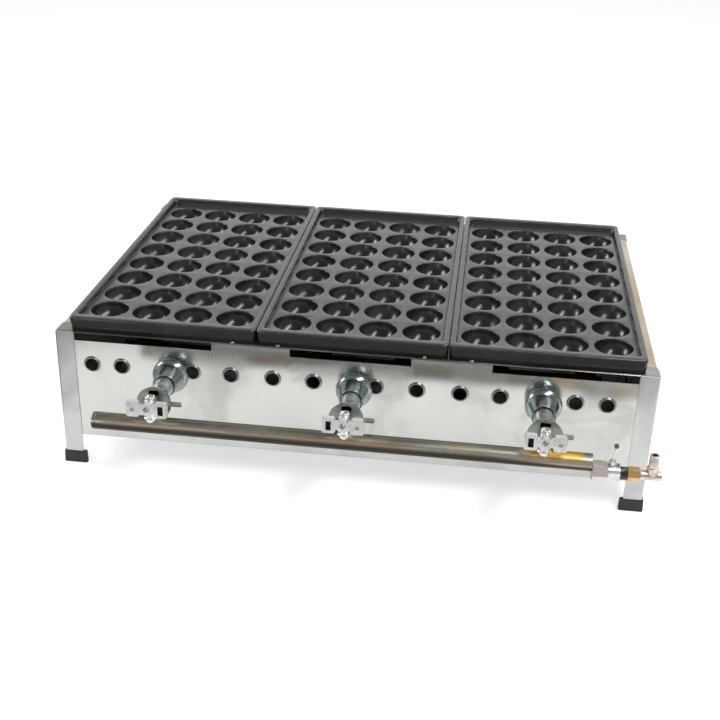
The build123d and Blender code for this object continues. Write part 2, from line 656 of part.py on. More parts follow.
def inlet_passage():
    """The way from the manifold down into the union nut, where their two bores overlap."""
    start_x = MANIFOLD_RIGHT_X - MANIFOLD_END_WALL - PAST
    end_x = UNION_X + UNION_WALL + PAST
    in_pipe = crosswise(MANIFOLD_BORE_R, start_x, end_x, MANIFOLD_Y, MANIFOLD_Z)
    return in_pipe & crosswise(UNION_BORE_R, start_x, end_x, MANIFOLD_Y, INLET_Z)


def manifold_end_plug():
    """A plug pressed into the left end of the manifold."""
    plug = crosswise(MANIFOLD_R, MANIFOLD_LEFT_X - END_PLUG_L, MANIFOLD_LEFT_X,
                     MANIFOLD_Y, MANIFOLD_Z)
    return plug + crosswise(MANIFOLD_BORE_R, MANIFOLD_LEFT_X, MANIFOLD_LEFT_X + 2 * END_PLUG_L,
                            MANIFOLD_Y, MANIFOLD_Z)


def union_nut():
    """A hexagon nut that joins the manifold to the inlet valve, a step lower than the pipe."""
    end_x = UNION_X + UNION_L
    nut = hexagon_crosswise(UNION_HEX, UNION_X, end_x, MANIFOLD_Y, INLET_Z)
    nut -= crosswise(UNION_BORE_R, UNION_X + UNION_WALL, end_x + PAST, MANIFOLD_Y, INLET_Z)
    return nut - inlet_passage()


def inlet_valve_body():
    """A rounded block with a spigot in the union nut, a stem hole on top and a bore right through."""
    end_x = VALVE_X + VALVE_L
    spigot_x = VALVE_X - VALVE_SPIGOT_L
    body = block(VALVE_X, end_x, MANIFOLD_Y - VALVE_W / 2, MANIFOLD_Y + VALVE_W / 2,
                 INLET_Z - VALVE_W / 2, INLET_Z + VALVE_W / 2)
    body = fillet(body.edges().filter_by(Axis.X), VALVE_ROUND)
    body += crosswise(UNION_BORE_R, spigot_x, VALVE_X, MANIFOLD_Y, INLET_Z)
    body -= crosswise(VALVE_BORE_R, spigot_x - PAST, end_x + PAST, MANIFOLD_Y, INLET_Z)
    return body - upright(STEM_R + RUNNING, STEM_X, MANIFOLD_Y, STEM_BOTTOM_Z - PAST, TOP_Z)


def inlet_valve_stem():
    """The turning stem of the inlet valve, with a wider head on top."""
    stem = upright(STEM_R, STEM_X, MANIFOLD_Y, STEM_BOTTOM_Z, STEM_NECK_Z)
    return stem + upright(STEM_HEAD_R, STEM_X, MANIFOLD_Y, STEM_NECK_Z, STEM_TOP_Z)


def inlet_lever():
    """A thin leaning lever with a ball end, on a root that stands on the stem's head."""
    start = Vector(STEM_X, MANIFOLD_Y, STEM_TOP_Z + LEVER_ROOT_H / 2)
    end = Vector(STEM_X + LEVER_LEAN, MANIFOLD_Y, STEM_TOP_Z + LEVER_RISE)
    rod_plane = Plane(origin=start, z_dir=(end - start))
    rod = extrude(rod_plane * Circle(LEVER_R), (end - start).length)
    rod += upright(LEVER_ROOT_R, STEM_X, MANIFOLD_Y, STEM_TOP_Z, STEM_TOP_Z + LEVER_ROOT_H)
    return rod + Pos(end.X, end.Y, end.Z) * Sphere(LEVER_BALL_R)


def inlet_adapter():
    """A brass hexagon adapter between the valve and the hose tail."""
    neck_x = VALVE_X + VALVE_L
    hex_end = ADAPTER_X + ADAPTER_HEX_L
    adapter = crosswise(ADAPTER_NECK_R, neck_x, ADAPTER_X, MANIFOLD_Y, INLET_Z)
    adapter += hexagon_crosswise(ADAPTER_HEX, ADAPTER_X, hex_end, MANIFOLD_Y, INLET_Z)
    adapter -= crosswise(HOSE_BORE_R, neck_x - PAST, hex_end, MANIFOLD_Y, INLET_Z)
    return adapter - crosswise(HOSE_TUBE_R, hex_end - ADAPTER_SOCKET_L, hex_end + PAST,
                               MANIFOLD_Y, INLET_Z)


def hose_elbow():
    """A closed tube with an upright nipple for the gas hose."""
    start_x = ADAPTER_X + ADAPTER_HEX_L - ADAPTER_SOCKET_L
    elbow = crosswise(HOSE_TUBE_R, start_x, HOSE_END_X, MANIFOLD_Y, INLET_Z)
    elbow += upright(NIPPLE_COLLAR_R, NIPPLE_X, MANIFOLD_Y, INLET_Z, NIPPLE_COLLAR_Z)
    elbow += upright(HOSE_TUBE_R, NIPPLE_X, MANIFOLD_Y, NIPPLE_COLLAR_Z, NIPPLE_TOP_Z)
    for z in NIPPLE_GROOVES_Z:
        ring = upright(HOSE_TUBE_R + PAST, NIPPLE_X, MANIFOLD_Y, z, z + NIPPLE_GROOVE)
        elbow -= ring - upright(NIPPLE_GROOVE_R, NIPPLE_X, MANIFOLD_Y, z - PAST, z + 2 * PAST)
    elbow -= crosswise(HOSE_BORE_R, start_x - PAST, NIPPLE_X, MANIFOLD_Y, INLET_Z)
    return elbow - upright(HOSE_BORE_R, NIPPLE_X, MANIFOLD_Y, INLET_Z, NIPPLE_TOP_Z + PAST)


os.makedirs("parts", exist_ok=True)

write("front_panel", front_panel())
write("rear_panel", rear_panel())
for side in ("left", "right"):
    write(f"side_panel_{side}", side_panel(side))
    write(f"plate_bridge_{side}", bridge(side))
for end, y_side in (("front", -1), ("rear", 1)):
    for side, x_side in (("left", -1), ("right", 1)):
        write(f"leg_{end}_{side}", leg(x_side, y_side))
        write(f"foot_{end}_{side}", foot(x_side, y_side))
write("bridge_screws", bridge_screws())
write("bottom_shield", bottom_shield())
write("shield_screws", shield_screws())
write("burner_rest", burner_rest())
for side in SIDES:
    write(f"plate_{side}", plate(side))
    write(f"burner_{side}", burner(side))
    write(f"burner_end_caps_{side}", burner_end_caps(side))
    write(f"mixer_{side}", mixer(side))
    write(f"air_shutter_{side}", air_shutter(side))
    write(f"gas_nozzle_{side}", gas_nozzle(side))
    write(f"cock_body_{side}", cock_body(side))
    write(f"cock_plug_{side}", cock_plug(side))
    write(f"cock_handle_{side}", cock_handle(side))
    write(f"cock_screw_{side}", cock_screw(side))
write("manifold_pipe", manifold_pipe())
write("manifold_end_plug", manifold_end_plug())
write("union_nut", union_nut())
write("inlet_valve_body", inlet_valve_body())
write("inlet_valve_stem", inlet_valve_stem())
write("inlet_lever", inlet_lever())
write("inlet_adapter", inlet_adapter())
write("hose_elbow", hose_elbow())
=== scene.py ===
import json
import math

import bmesh
import bpy
from mathutils import Matrix, Vector


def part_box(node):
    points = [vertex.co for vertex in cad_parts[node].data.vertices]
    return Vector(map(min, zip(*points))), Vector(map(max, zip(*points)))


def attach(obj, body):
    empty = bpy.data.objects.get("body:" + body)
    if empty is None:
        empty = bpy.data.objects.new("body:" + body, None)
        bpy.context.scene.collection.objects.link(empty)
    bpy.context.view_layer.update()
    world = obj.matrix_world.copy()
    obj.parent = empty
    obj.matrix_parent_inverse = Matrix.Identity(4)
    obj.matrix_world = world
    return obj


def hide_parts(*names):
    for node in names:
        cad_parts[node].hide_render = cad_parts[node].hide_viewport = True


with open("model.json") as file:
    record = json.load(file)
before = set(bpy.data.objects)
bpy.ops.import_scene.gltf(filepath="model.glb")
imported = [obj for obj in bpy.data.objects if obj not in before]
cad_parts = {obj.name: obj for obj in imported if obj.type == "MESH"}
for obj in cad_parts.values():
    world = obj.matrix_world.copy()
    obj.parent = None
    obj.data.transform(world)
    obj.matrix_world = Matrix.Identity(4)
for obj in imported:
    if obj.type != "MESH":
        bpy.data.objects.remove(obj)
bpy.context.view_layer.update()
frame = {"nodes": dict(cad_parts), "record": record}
nodes = frame["nodes"]
record = frame["record"]


# ---- studio ----
# A white floor, a pale surround and soft lamps: a long one overhead, one like a window behind
# at the left and a small one in front. In the metal, the floor's sheet of paper ends before the
# camera and at the left, and the room above is dim. The camera looks down on the plates.

casing_front_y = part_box("leg_front_left")[0].y
casing_back_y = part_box("leg_rear_left")[1].y
casing_mid_y = (casing_front_y + casing_back_y) / 2

CAMERA_AIM = Vector((-0.013, casing_mid_y, 0.047))
CAMERA_AZIMUTH = math.radians(6.28)
CAMERA_ELEVATION = math.radians(26.13)
CAMERA_ROLL = math.radians(1.71)
CAMERA_DISTANCE = 1.416
CAMERA_LENS = 57.55
FLOOR_REACH = 12.0
PAPER_LEFT, PAPER_FRONT = -0.40, -0.455
PAPER_EDGE = 0.03
WHITE = (1, 1, 1, 1)


def link(obj):
    bpy.context.scene.collection.objects.link(obj)
    return obj


def add_camera():
    back = Vector((
        math.sin(CAMERA_AZIMUTH) * math.cos(CAMERA_ELEVATION),
        -math.cos(CAMERA_AZIMUTH) * math.cos(CAMERA_ELEVATION),
        math.sin(CAMERA_ELEVATION),
    ))
    across = Vector((0, 0, 1)).cross(back).normalized()
    upward = back.cross(across)
    c, s = math.cos(CAMERA_ROLL), math.sin(CAMERA_ROLL)
    right = across * c + upward * s
    top = upward * c - across * s
    data = bpy.data.cameras.new("camera")
    data.lens = CAMERA_LENS
    data.sensor_width = 36
    camera = link(bpy.data.objects.new("camera", data))
    turn = Matrix((right, top, back)).transposed().to_4x4()
    camera.matrix_world = Matrix.Translation(CAMERA_AIM + back * CAMERA_DISTANCE) @ turn
    bpy.context.scene.camera = camera


def wire(tree, node, inputs):
    """Sets a node's inputs: a socket is linked, and anything else is the input's own value."""
    for key, value in dict(inputs).items():
        if isinstance(value, bpy.types.NodeSocket):
            tree.links.new(value, node.inputs[key])
        else:
            node.inputs[key].default_value = value


def new_material(name):
    """A node material with its tree and its Principled shader."""
    material = bpy.data.materials.new(name)
    material.use_nodes = True
    return material, material.node_tree, material.node_tree.nodes["Principled BSDF"]


def add_node(tree, kind, inputs=(), **properties):
    node = tree.nodes.new(kind)
    for key, value in properties.items():
        setattr(node, key, value)
    wire(tree, node, inputs)
    return node


def calculated(tree, operation, *values):
    return add_node(tree, "ShaderNodeMath", dict(enumerate(values)), operation=operation).outputs[0]


def ranged(tree, value, start, end, low=0.0, high=1.0, **properties):
    """Goes from low to high while the value goes from start to end."""
    return add_node(tree, "ShaderNodeMapRange", {
        "Value": value, "From Min": start, "From Max": end, "To Min": low, "To Max": high,
    }, **properties).outputs[0]


def place_in(tree):
    return add_node(tree, "ShaderNodeTexCoord").outputs["Object"]


def axes_of(tree, vector):
    return add_node(tree, "ShaderNodeSeparateXYZ", {0: vector}).outputs


def add_floor():
    """A white floor. The metal mirrors a bright sheet of paper on it, and a dim table past that."""
    corners = [(-1, -1), (1, -1), (1, 1), (-1, 1)]
    mesh = bpy.data.meshes.new("floor")
    mesh.from_pydata([(FLOOR_REACH * x, FLOOR_REACH * y, 0) for x, y in corners], [],
                     [(0, 1, 2, 3)])
    floor = link(bpy.data.objects.new("floor", mesh))
    material, tree, shader = new_material("floor")
    path = tree.nodes.new("ShaderNodeLightPath").outputs
    bright = calculated(tree, "MULTIPLY", path["Is Camera Ray"], 0.55)
    wire(tree, shader, {
        "Base Color": (0.9, 0.9, 0.9, 1), "Roughness": 0.9, "Specular IOR Level": 0,
        "Emission Color": WHITE,
        "Emission Strength": calculated(tree, "MULTIPLY_ADD", path["Is Glossy Ray"], 0.30, bright)})
    axes = axes_of(tree, place_in(tree))
    past = calculated(tree, "MAXIMUM", *(
        ranged(tree, axes[axis], edge, edge - PAPER_EDGE)
        for axis, edge in (("X", PAPER_LEFT), ("Y", PAPER_FRONT))))
    dim = calculated(tree, "MULTIPLY", past, path["Is Glossy Ray"])
    table = add_node(tree, "ShaderNodeEmission", {"Color": (0.36, 0.37, 0.36, 1), "Strength": 1.0})
    shown = add_node(tree, "ShaderNodeMixShader", {
        0: dim, 1: shader.outputs[0], 2: table.outputs[0]})
    tree.links.new(shown.outputs[0], tree.nodes["Material Output"].inputs["Surface"])
    mesh.materials.append(material)


def add_world():
    """A pale surround: white to the camera, and in the metal bright behind and dim overhead."""
    world = bpy.data.worlds.new("surround")
    bpy.context.scene.world = world
    world.use_nodes = True
    tree = world.node_tree
    tree.nodes.clear()

    def between(factor, first, second):
        return add_node(tree, "ShaderNodeMix", {0: factor, 2: first, 3: second}).outputs[0]

    path = tree.nodes.new("ShaderNodeLightPath").outputs
    axes = axes_of(tree, add_node(tree, "ShaderNodeTexCoord").outputs["Generated"])
    room = between(ranged(tree, axes["Y"], 0.1, 0.5), ranged(tree, axes["Z"], 0.0, 0.6, 0.75, 0.2),
                   ranged(tree, axes["Z"], 0.35, 0.9, 1.1, 0.25))
    strength = between(path["Is Camera Ray"], between(path["Is Glossy Ray"], 0.42, room), 1.0)
    plain = add_node(tree, "ShaderNodeBackground", {"Color": WHITE, "Strength": strength})
    add_node(tree, "ShaderNodeOutputWorld", {"Surface": plain.outputs[0]})


def add_lamp(name, place, aim, size, power):
    data = bpy.data.lights.new(name, "AREA")
    data.shape = "RECTANGLE"
    data.size, data.size_y = size
    data.energy = power
    lamp = link(bpy.data.objects.new(name, data))
    lamp.location = place
    lamp.rotation_euler = (Vector(aim) - Vector(place)).to_track_quat("-Z", "Y").to_euler()


add_camera()
add_floor()
add_world()
add_lamp("overhead_lamp", (0.85, -0.20, 1.60), aim=(0, 0.05, 0.1), size=(2.4, 0.35), power=24)
add_lamp("window_lamp", (-1.72, 0.25, 1.00), aim=(0, 0.05, 0.1), size=(0.9, 0.6), power=15)
add_lamp("left_strip_lamp", (-1.00, -1.70, 0.35), aim=(0, 0, 0.12), size=(0.3, 0.5), power=1.5)
bpy.context.scene.view_settings.view_transform = "Standard"


# ---- front and rear panels ----
# Bright stainless sheet, 1.2 mm thick, folded back along the top and the bottom. The top has a
# long window at each plate, and each round air hole of the front panel has a rolled collar.

SIDES = ("left", "middle", "right")
BODY_OF = {node: body for body, names in record["behaviour"]["bodies"].items() for node in names}
BURNERS = dict(zip(SIDES, (-0.1875, 0.0060, 0.1995)))
SHEET = 0.0012
SHEET_BEND = 0.0020
LEG_SHEET = 0.0015
CUT_EDGE = 0.00022
FINE_CORNER = math.radians(35)
CORNER = math.radians(50)
WELDED = 0.000002
ON_AXIS = 0.000001
CUT_REACH = 0.003
PANEL_TOP = 0.158
PANEL_BOTTOM = 0.034
PANEL_HALF = 0.3115
PANEL_FOLD_TOP = 0.022
PANEL_FOLD_BOTTOM = 0.012
WINDOW_H = 0.0088
WINDOW_SPANS = ((-0.2925, -0.1455), (-0.0630, 0.0630), (0.1455, 0.2925))
AIR_HOLE_Z = 0.1216
AIR_HOLE_R = 0.007
AIR_HOLES_MIDDLE_X = -0.0055
AIR_HOLES_FRONT = [AIR_HOLES_MIDDLE_X + side * distance for side in (-1, 1)
                   for distance in (0.0324, 0.0754, 0.1200, 0.1610, 0.2375, 0.2695)]
AIR_HOLES_REAR = (-0.238, -0.163, -0.077, 0.077, 0.163, 0.238)
HOLE_STEPS = 48
FLAME_Z = 0.1204
MIXER_HOLE_R = 0.0104
COLLAR_R = 0.0095
COLLAR_H = 0.0020
COLLAR_SUNK = 0.0002
HEAT_Z = 0.1545
HEAT_FADE = 0.003
FACING = {
    "front": Matrix.Rotation(math.pi / 2, 4, "X"), "rear": Matrix.Rotation(-math.pi / 2, 4, "X"),
    "right": Matrix.Rotation(math.pi / 2, 4, "Y"), "left": Matrix.Rotation(-math.pi / 2, 4, "Y"),
}
panel_front_y = casing_front_y + LEG_SHEET
panel_back_y = casing_back_y - LEG_SHEET


def stand_in(piece, node, *finishes):
    """The piece takes the place of a solid, on its body, in these finishes."""
    for finish in finishes:
        piece.data.materials.append(finish)
    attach(piece, BODY_OF[node])
    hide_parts(node)


def add_loop(mesh, points):
    return [mesh.verts.new(point) for point in points]


def skin(mesh, low, high, edge=0.0):
    """Faces between two closed loops, or between a loop and a single point."""
    layer = mesh.faces.layers.float["edge"]
    count = max(len(low), len(high))
    for i in range(count):
        j = (i + 1) % count
        if len(low) == 1:
            face = mesh.faces.new((low[0], high[j], high[i]))
        elif len(high) == 1:
            face = mesh.faces.new((low[i], low[j], high[0]))
        else:
            face = mesh.faces.new((low[i], low[j], high[j], high[i]))
        face[layer] = edge


def new_mesh():
    """An empty mesh whose faces say how much of an edge they are."""
    mesh = bmesh.new()
    mesh.faces.layers.float.new("edge")
    return mesh


def new_piece(name, mesh):
    """A linked object from a finished mesh, with its faces outwards."""
    bmesh.ops.recalc_face_normals(mesh, faces=mesh.faces)
    data = bpy.data.meshes.new(name)
    mesh.to_mesh(data)
    mesh.free()
    return link(bpy.data.objects.new(name, data))


def rounded_path(corners, steps=4):
    """A closed outline from its corners, each with the length by which it is rounded."""
    points = []
    for i, (a, b, bend) in enumerate(corners):
        here = Vector((a, b))
        if not bend:
            points.append(here)
            continue
        back = Vector(corners[i - 1][:2]) - here
        ahead = Vector(corners[(i + 1) % len(corners)][:2]) - here
        start = here + back.normalized() * min(bend, 0.49 * back.length)
        end = here + ahead.normalized() * min(bend, 0.49 * ahead.length)
        for step in range(steps + 1):
            t = step / steps
            points.append(start.lerp(here, t).lerp(here.lerp(end, t), t))
    return points


def drawn(name, outline, low, high, axis):
    """A bar of one outline along an axis. The outline's own axes are the other two, in order."""
    mesh = new_mesh()
    spread = {"x": lambda a, b, t: (t, a, b), "y": lambda a, b, t: (a, t, b),
              "z": lambda a, b, t: (a, b, t)}[axis]
    ends = [add_loop(mesh, [spread(a, b, t) for a, b in outline]) for t in (low, high)]
    skin(mesh, *ends)
    for end in ends:
        mesh.faces.new(end)
    return new_piece(name, mesh)


def turned(name, outline, steps):
    """A turned shape about z from a closed outline of (height, radius)."""
    mesh = new_mesh()
    turns = [2 * math.pi * i / steps for i in range(steps)]
    rings = []
    for height, radius in outline:
        if radius < ON_AXIS:
            rings.append(add_loop(mesh, [(0, 0, height)]))
        else:
            rings.append(add_loop(mesh, [
                (radius * math.cos(t), radius * math.sin(t), height) for t in turns]))
    for low, high in zip(rings, rings[1:] + rings[:1]):
        if len(low) + len(high) > 2:
            skin(mesh, low, high)
    return new_piece(name, mesh)


def placed(piece, *steps):
    """Moves the mesh itself, so that the object stays at the origin."""
    for step in steps:
        piece.data.transform(step)
    return piece


def lathed(name, corners, steps, *where):
    """A turned shape from its outline's corners and their roundings, put in its place."""
    return placed(turned(name, rounded_path(corners), steps), *where)


def made_real(piece):
    """Turns a piece with modifiers into a plain mesh with its faces outwards."""
    graph = bpy.context.evaluated_depsgraph_get()
    data = bpy.data.meshes.new_from_object(piece.evaluated_get(graph), depsgraph=graph)
    piece.modifiers.clear()
    piece.data = data
    mesh = bmesh.new()
    mesh.from_mesh(data)
    bmesh.ops.recalc_face_normals(mesh, faces=mesh.faces)
    mesh.to_mesh(data)
    mesh.free()
    return piece


def cut(piece, cutter, operation="DIFFERENCE"):
    """Cuts a piece by another, which is used up."""
    modifier = piece.modifiers.new("cut", "BOOLEAN")
    modifier.operation = operation
    modifier.solver = "EXACT"
    modifier.object = cutter
    made_real(piece)
    bpy.data.objects.remove(cutter)
    return piece


def joined(name, pieces):
    """One piece from several, which are used up."""
    mesh = new_mesh()
    for piece in pieces:
        mesh.from_mesh(piece.data)
        bpy.data.objects.remove(piece)
    return new_piece(name, mesh)


def box_between(low, high):
    """A rectangular cutter."""
    outline = [(low[0], low[1]), (high[0], low[1]), (high[0], high[1]), (low[0], high[1])]
    return drawn("cutter", outline, low[2], high[2], "z")


def shaded(piece, sharp=CORNER):
    """Smooth shading that keeps flat faces flat."""
    piece.data.shade_smooth()
    piece.data.set_sharp_from_angle(angle=sharp)
    weighted = piece.modifiers.new("weighted", "WEIGHTED_NORMAL")
    weighted.keep_sharp = True
    return made_real(piece)


def softened(piece, width, segments):
    """Rounds the sharp edges of a piece, marks them for wear and shades it smooth."""
    mesh = bmesh.new()
    mesh.from_mesh(piece.data)
    if "edge" not in mesh.faces.layers.float:
        mesh.faces.layers.float.new("edge")
    bmesh.ops.remove_doubles(mesh, verts=mesh.verts, dist=WELDED)
    bmesh.ops.dissolve_limit(mesh, angle_limit=math.radians(0.6), verts=mesh.verts,
                             edges=mesh.edges)
    edges = [edge for edge in mesh.edges
             if edge.is_manifold and edge.calc_face_angle() > FINE_CORNER]
    made = bmesh.ops.bevel(mesh, geom=edges, offset=width, segments=segments, profile=0.5,
                           affect="EDGES", clamp_overlap=True)
    layer = mesh.faces.layers.float["edge"]
    for face in made["faces"]:
        face[layer] = 1.0
    bmesh.ops.recalc_face_normals(mesh, faces=mesh.faces)
    mesh.to_mesh(piece.data)
    mesh.free()
    return shaded(piece)


def pressed_panel(name, front_y, inward, air_holes, mixer_holes):
    """A folded end panel. Inward is 1 where the casing lies behind the wall, or -1."""
    def y(depth):
        return front_y + inward * depth

    fold, inner = SHEET_BEND, SHEET_BEND - SHEET
    panel = drawn(name, rounded_path([
        (y(PANEL_FOLD_TOP), PANEL_TOP, 0), (y(0), PANEL_TOP, fold),
        (y(0), PANEL_BOTTOM, fold), (y(PANEL_FOLD_BOTTOM), PANEL_BOTTOM, 0),
        (y(PANEL_FOLD_BOTTOM), PANEL_BOTTOM + SHEET, 0), (y(SHEET), PANEL_BOTTOM + SHEET, inner),
        (y(SHEET), PANEL_TOP - SHEET, inner), (y(PANEL_FOLD_TOP), PANEL_TOP - SHEET, 0),
    ]), -PANEL_HALF, PANEL_HALF, "x")
    reach = sorted((y(-CUT_REACH), y(CUT_REACH)))
    window_top = PANEL_TOP - SHEET
    cutters = [box_between((x0, reach[0], window_top - WINDOW_H), (x1, reach[1], window_top))
               for x0, x1 in WINDOW_SPANS]
    turns = [2 * math.pi * step / HOLE_STEPS for step in range(HOLE_STEPS)]
    for x, z, radius in ([(x, AIR_HOLE_Z, AIR_HOLE_R) for x in air_holes]
                         + [(x, FLAME_Z, MIXER_HOLE_R) for x in mixer_holes]):
        circle = [(x + radius * math.cos(t), z + radius * math.sin(t)) for t in turns]
        cutters.append(drawn("cutter", circle, *reach, "y"))
    return softened(cut(panel, joined("cutters", cutters)), CUT_EDGE, 1)


def shader_group(name, inputs, output):
    """A shader node group with float inputs and one float output."""
    tree = bpy.data.node_groups.new(name, "ShaderNodeTree")
    for label, value in inputs.items():
        tree.interface.new_socket(
            label, in_out="INPUT", socket_type="NodeSocketFloat").default_value = value
    tree.interface.new_socket(output, in_out="OUTPUT", socket_type="NodeSocketFloat")
    return tree, tree.nodes.new("NodeGroupInput").outputs, tree.nodes.new("NodeGroupOutput").inputs


def noise(tree, vector, scale, detail=2.0, **inputs):
    return add_node(tree, "ShaderNodeTexNoise", {
        "Vector": vector, "Scale": scale, "Detail": detail, **inputs}).outputs["Fac"]


def stretched(tree, vector, stretch):
    return add_node(tree, "ShaderNodeVectorMath", {0: vector, 1: stretch},
                    operation="MULTIPLY").outputs[0]


def build_grain():
    """Long fine lines in the direction in which the stretch is least."""
    tree, given, result = shader_group(
        "grain", {"Across X": 100, "Across Y": 100, "Across Z": 100}, "Lines")
    stretch = add_node(tree, "ShaderNodeCombineXYZ", {
        axis: given["Across " + axis] for axis in "XYZ"}).outputs[0]
    lines = noise(tree, stretched(tree, place_in(tree), stretch), 1.0, 3.0, Roughness=0.65)
    tree.links.new(lines, result["Lines"])
    return tree


def build_handling():
    """Cloudy marks where hands, cloths and heat have been."""
    tree, given, result = shader_group("handling", {"Size": 10, "Cover": 0.5}, "Marks")
    cloud = noise(tree, place_in(tree), given["Size"], 5.0, Roughness=0.6, Distortion=0.8)
    start = calculated(tree, "SUBTRACT", 0.85, given["Cover"])
    end = calculated(tree, "ADD", start, 0.3)
    tree.links.new(ranged(tree, cloud, start, end, interpolation_type="SMOOTHSTEP"),
                   result["Marks"])
    return tree


def build_edge_wear():
    """Rubbed edges, broken up by a fine cloud."""
    tree, given, result = shader_group("edge_wear", {"Size": 120, "Amount": 1.0}, "Wear")
    edge = add_node(tree, "ShaderNodeAttribute", attribute_name="edge").outputs["Fac"]
    patch = ranged(tree, noise(tree, place_in(tree), given["Size"], 3.0), 0.35, 0.65)
    rubbed = calculated(tree, "MULTIPLY", edge, patch)
    tree.links.new(calculated(tree, "MULTIPLY", rubbed, given["Amount"]), result["Wear"])
    return tree


GRAIN, HANDLING, EDGE_WEAR = build_grain(), build_handling(), build_edge_wear()


def add_group(tree, group, **values):
    return add_node(tree, "ShaderNodeGroup", {
        label.replace("_", " "): value for label, value in values.items()},
        node_tree=group).outputs[0]


def mixed(tree, factor, first, second):
    """A colour between two others."""
    node = add_node(tree, "ShaderNodeMix", {"Factor": factor}, data_type="RGBA")
    for label, value in (("A", first), ("B", second)):
        socket = [s for s in node.inputs if s.name == label and s.type == "RGBA"][0]
        if isinstance(value, bpy.types.NodeSocket):
            tree.links.new(value, socket)
        else:
            socket.default_value = (*value, 1)
    return [s for s in node.outputs if s.type == "RGBA"][0]


def bumped(tree, height, depth, under=None):
    """A bump of a real depth in metres, on top of another."""
    below = {"Normal": under} if under else {}
    return add_node(tree, "ShaderNodeBump", {
        "Distance": depth, "Height": height, **below}).outputs[0]


def metal(name, colour, marked, rubbed, rough, size, cover=0.45, grain=(500, 500, 500),
          depth=0.000004, wave=0.0):
    """A metal finish: cloudy marks, a drawn or polished grain, rubbed edges and a slight wave."""
    material, tree, shader = new_material(name)
    marks = add_group(tree, HANDLING, Size=size, Cover=cover)
    lines = add_group(tree, GRAIN, Across_X=grain[0], Across_Y=grain[1], Across_Z=grain[2])
    wear = add_group(tree, EDGE_WEAR, Size=90, Amount=0.8)
    sheen = ranged(tree, marks, 0.0, 1.0, *rough)
    normal = bumped(tree, lines, depth)
    if wave:
        normal = bumped(tree, noise(tree, place_in(tree), 9.0, 1.0), wave, normal)
    wire(tree, shader, {
        "Base Color": mixed(tree, wear, mixed(tree, marks, colour, marked), rubbed),
        "Metallic": 1, "Roughness": calculated(tree, "MULTIPLY_ADD", lines, 0.10, sheen),
        "Normal": normal})
    return material


def stainless_sheet(name, grain, tint):
    """Bright sheet, with the colour that heat leaves in soft streaks on its top fold."""
    material = metal(name, (0.60, 0.605, 0.575), (0.50, 0.505, 0.485), (0.72, 0.72, 0.70),
                     rough=(0.13, 0.26), size=11, cover=0.42, grain=grain, wave=0.0016)
    tree = material.node_tree
    shader = tree.nodes["Principled BSDF"]
    before = shader.inputs["Base Color"].links[0].from_socket
    place = place_in(tree)
    reach = ranged(tree, axes_of(tree, place)["Z"], HEAT_Z, HEAT_Z + HEAT_FADE)
    patch = ranged(tree, noise(tree, place, 7.0), 0.25, 0.6)
    heat = calculated(tree, "MULTIPLY", reach, patch)
    tree.links.new(mixed(tree, heat, before, tint), shader.inputs["Base Color"])
    return material


def geometry_group(name, inputs, output):
    """A geometry node group, and the names by which its inputs are set on a modifier."""
    tree = bpy.data.node_groups.new(name, "GeometryNodeTree")
    sockets = {label: tree.interface.new_socket(
        label, in_out="INPUT", socket_type="NodeSocket" + kind).identifier
        for label, kind in inputs.items()}
    tree.interface.new_socket(output, in_out="OUTPUT", socket_type="NodeSocketGeometry")
    return tree, sockets, tree.nodes.new("NodeGroupInput").outputs


def end_group(tree, geometry, finish):
    """Makes the group's result real faces in one finish."""
    real = add_node(tree, "GeometryNodeSetMaterial", {0: geometry, "Material": finish})
    add_node(tree, "NodeGroupOutput", {0: real.outputs[0]})


def run_group(piece, tree, sockets, values):
    """Runs a geometry node group on a piece, which becomes a plain mesh."""
    modifier = piece.modifiers.new(tree.name, "NODES")
    modifier.node_group = tree
    for label, value in values.items():
        modifier[sockets[label]] = value
    return made_real(piece)


def build_set_out():
    """Sets a piece out on the points it is given, at one size, each turned by chance."""
    tree, sockets, given = geometry_group("set_out", {
        "Places": "Geometry", "Piece": "Object", "Size": "Float", "Turn": "Float", "Seed": "Int",
        "Finish": "Material"}, "Pieces")
    piece = add_node(tree, "GeometryNodeObjectInfo", {"Object": given["Piece"]})
    chance = add_node(tree, "FunctionNodeRandomValue", {3: given["Turn"], "Seed": given["Seed"]})
    spin = add_node(tree, "ShaderNodeCombineXYZ", {"Z": chance.outputs[1]})
    points = add_node(tree, "GeometryNodeMeshToPoints", {"Mesh": given["Places"]})
    pieces = add_node(tree, "GeometryNodeInstanceOnPoints", {
        "Points": points.outputs[0], "Instance": piece.outputs["Geometry"],
        "Rotation": spin.outputs[0], "Scale": given["Size"]})
    real = add_node(tree, "GeometryNodeRealizeInstances", {0: pieces.outputs[0]})
    end_group(tree, real.outputs[0], given["Finish"])
    return tree, sockets


SET_OUT = build_set_out()


def set_out(name, piece, places, size, finish, turn=0.0, seed=1, facing=Matrix()):
    """Copies of a piece at each place, as one plain mesh. Their z is turned to where they face."""
    data = bpy.data.meshes.new(name)
    data.from_pydata([facing.inverted() @ Vector(place) for place in places], [], [])
    group = run_group(link(bpy.data.objects.new(name, data)), *SET_OUT, {
        "Piece": piece, "Size": size, "Turn": turn, "Seed": seed, "Finish": finish})
    return placed(group, facing)


bright_sheet = stainless_sheet("bright_stainless_sheet", (900, 900, 40), (0.20, 0.19, 0.17))
stand_in(pressed_panel("folded_front_panel", panel_front_y, 1, AIR_HOLES_FRONT, BURNERS.values()),
         "front_panel", bright_sheet)
stand_in(pressed_panel("folded_rear_panel", panel_back_y, -1, AIR_HOLES_REAR, ()),
         "rear_panel", bright_sheet)
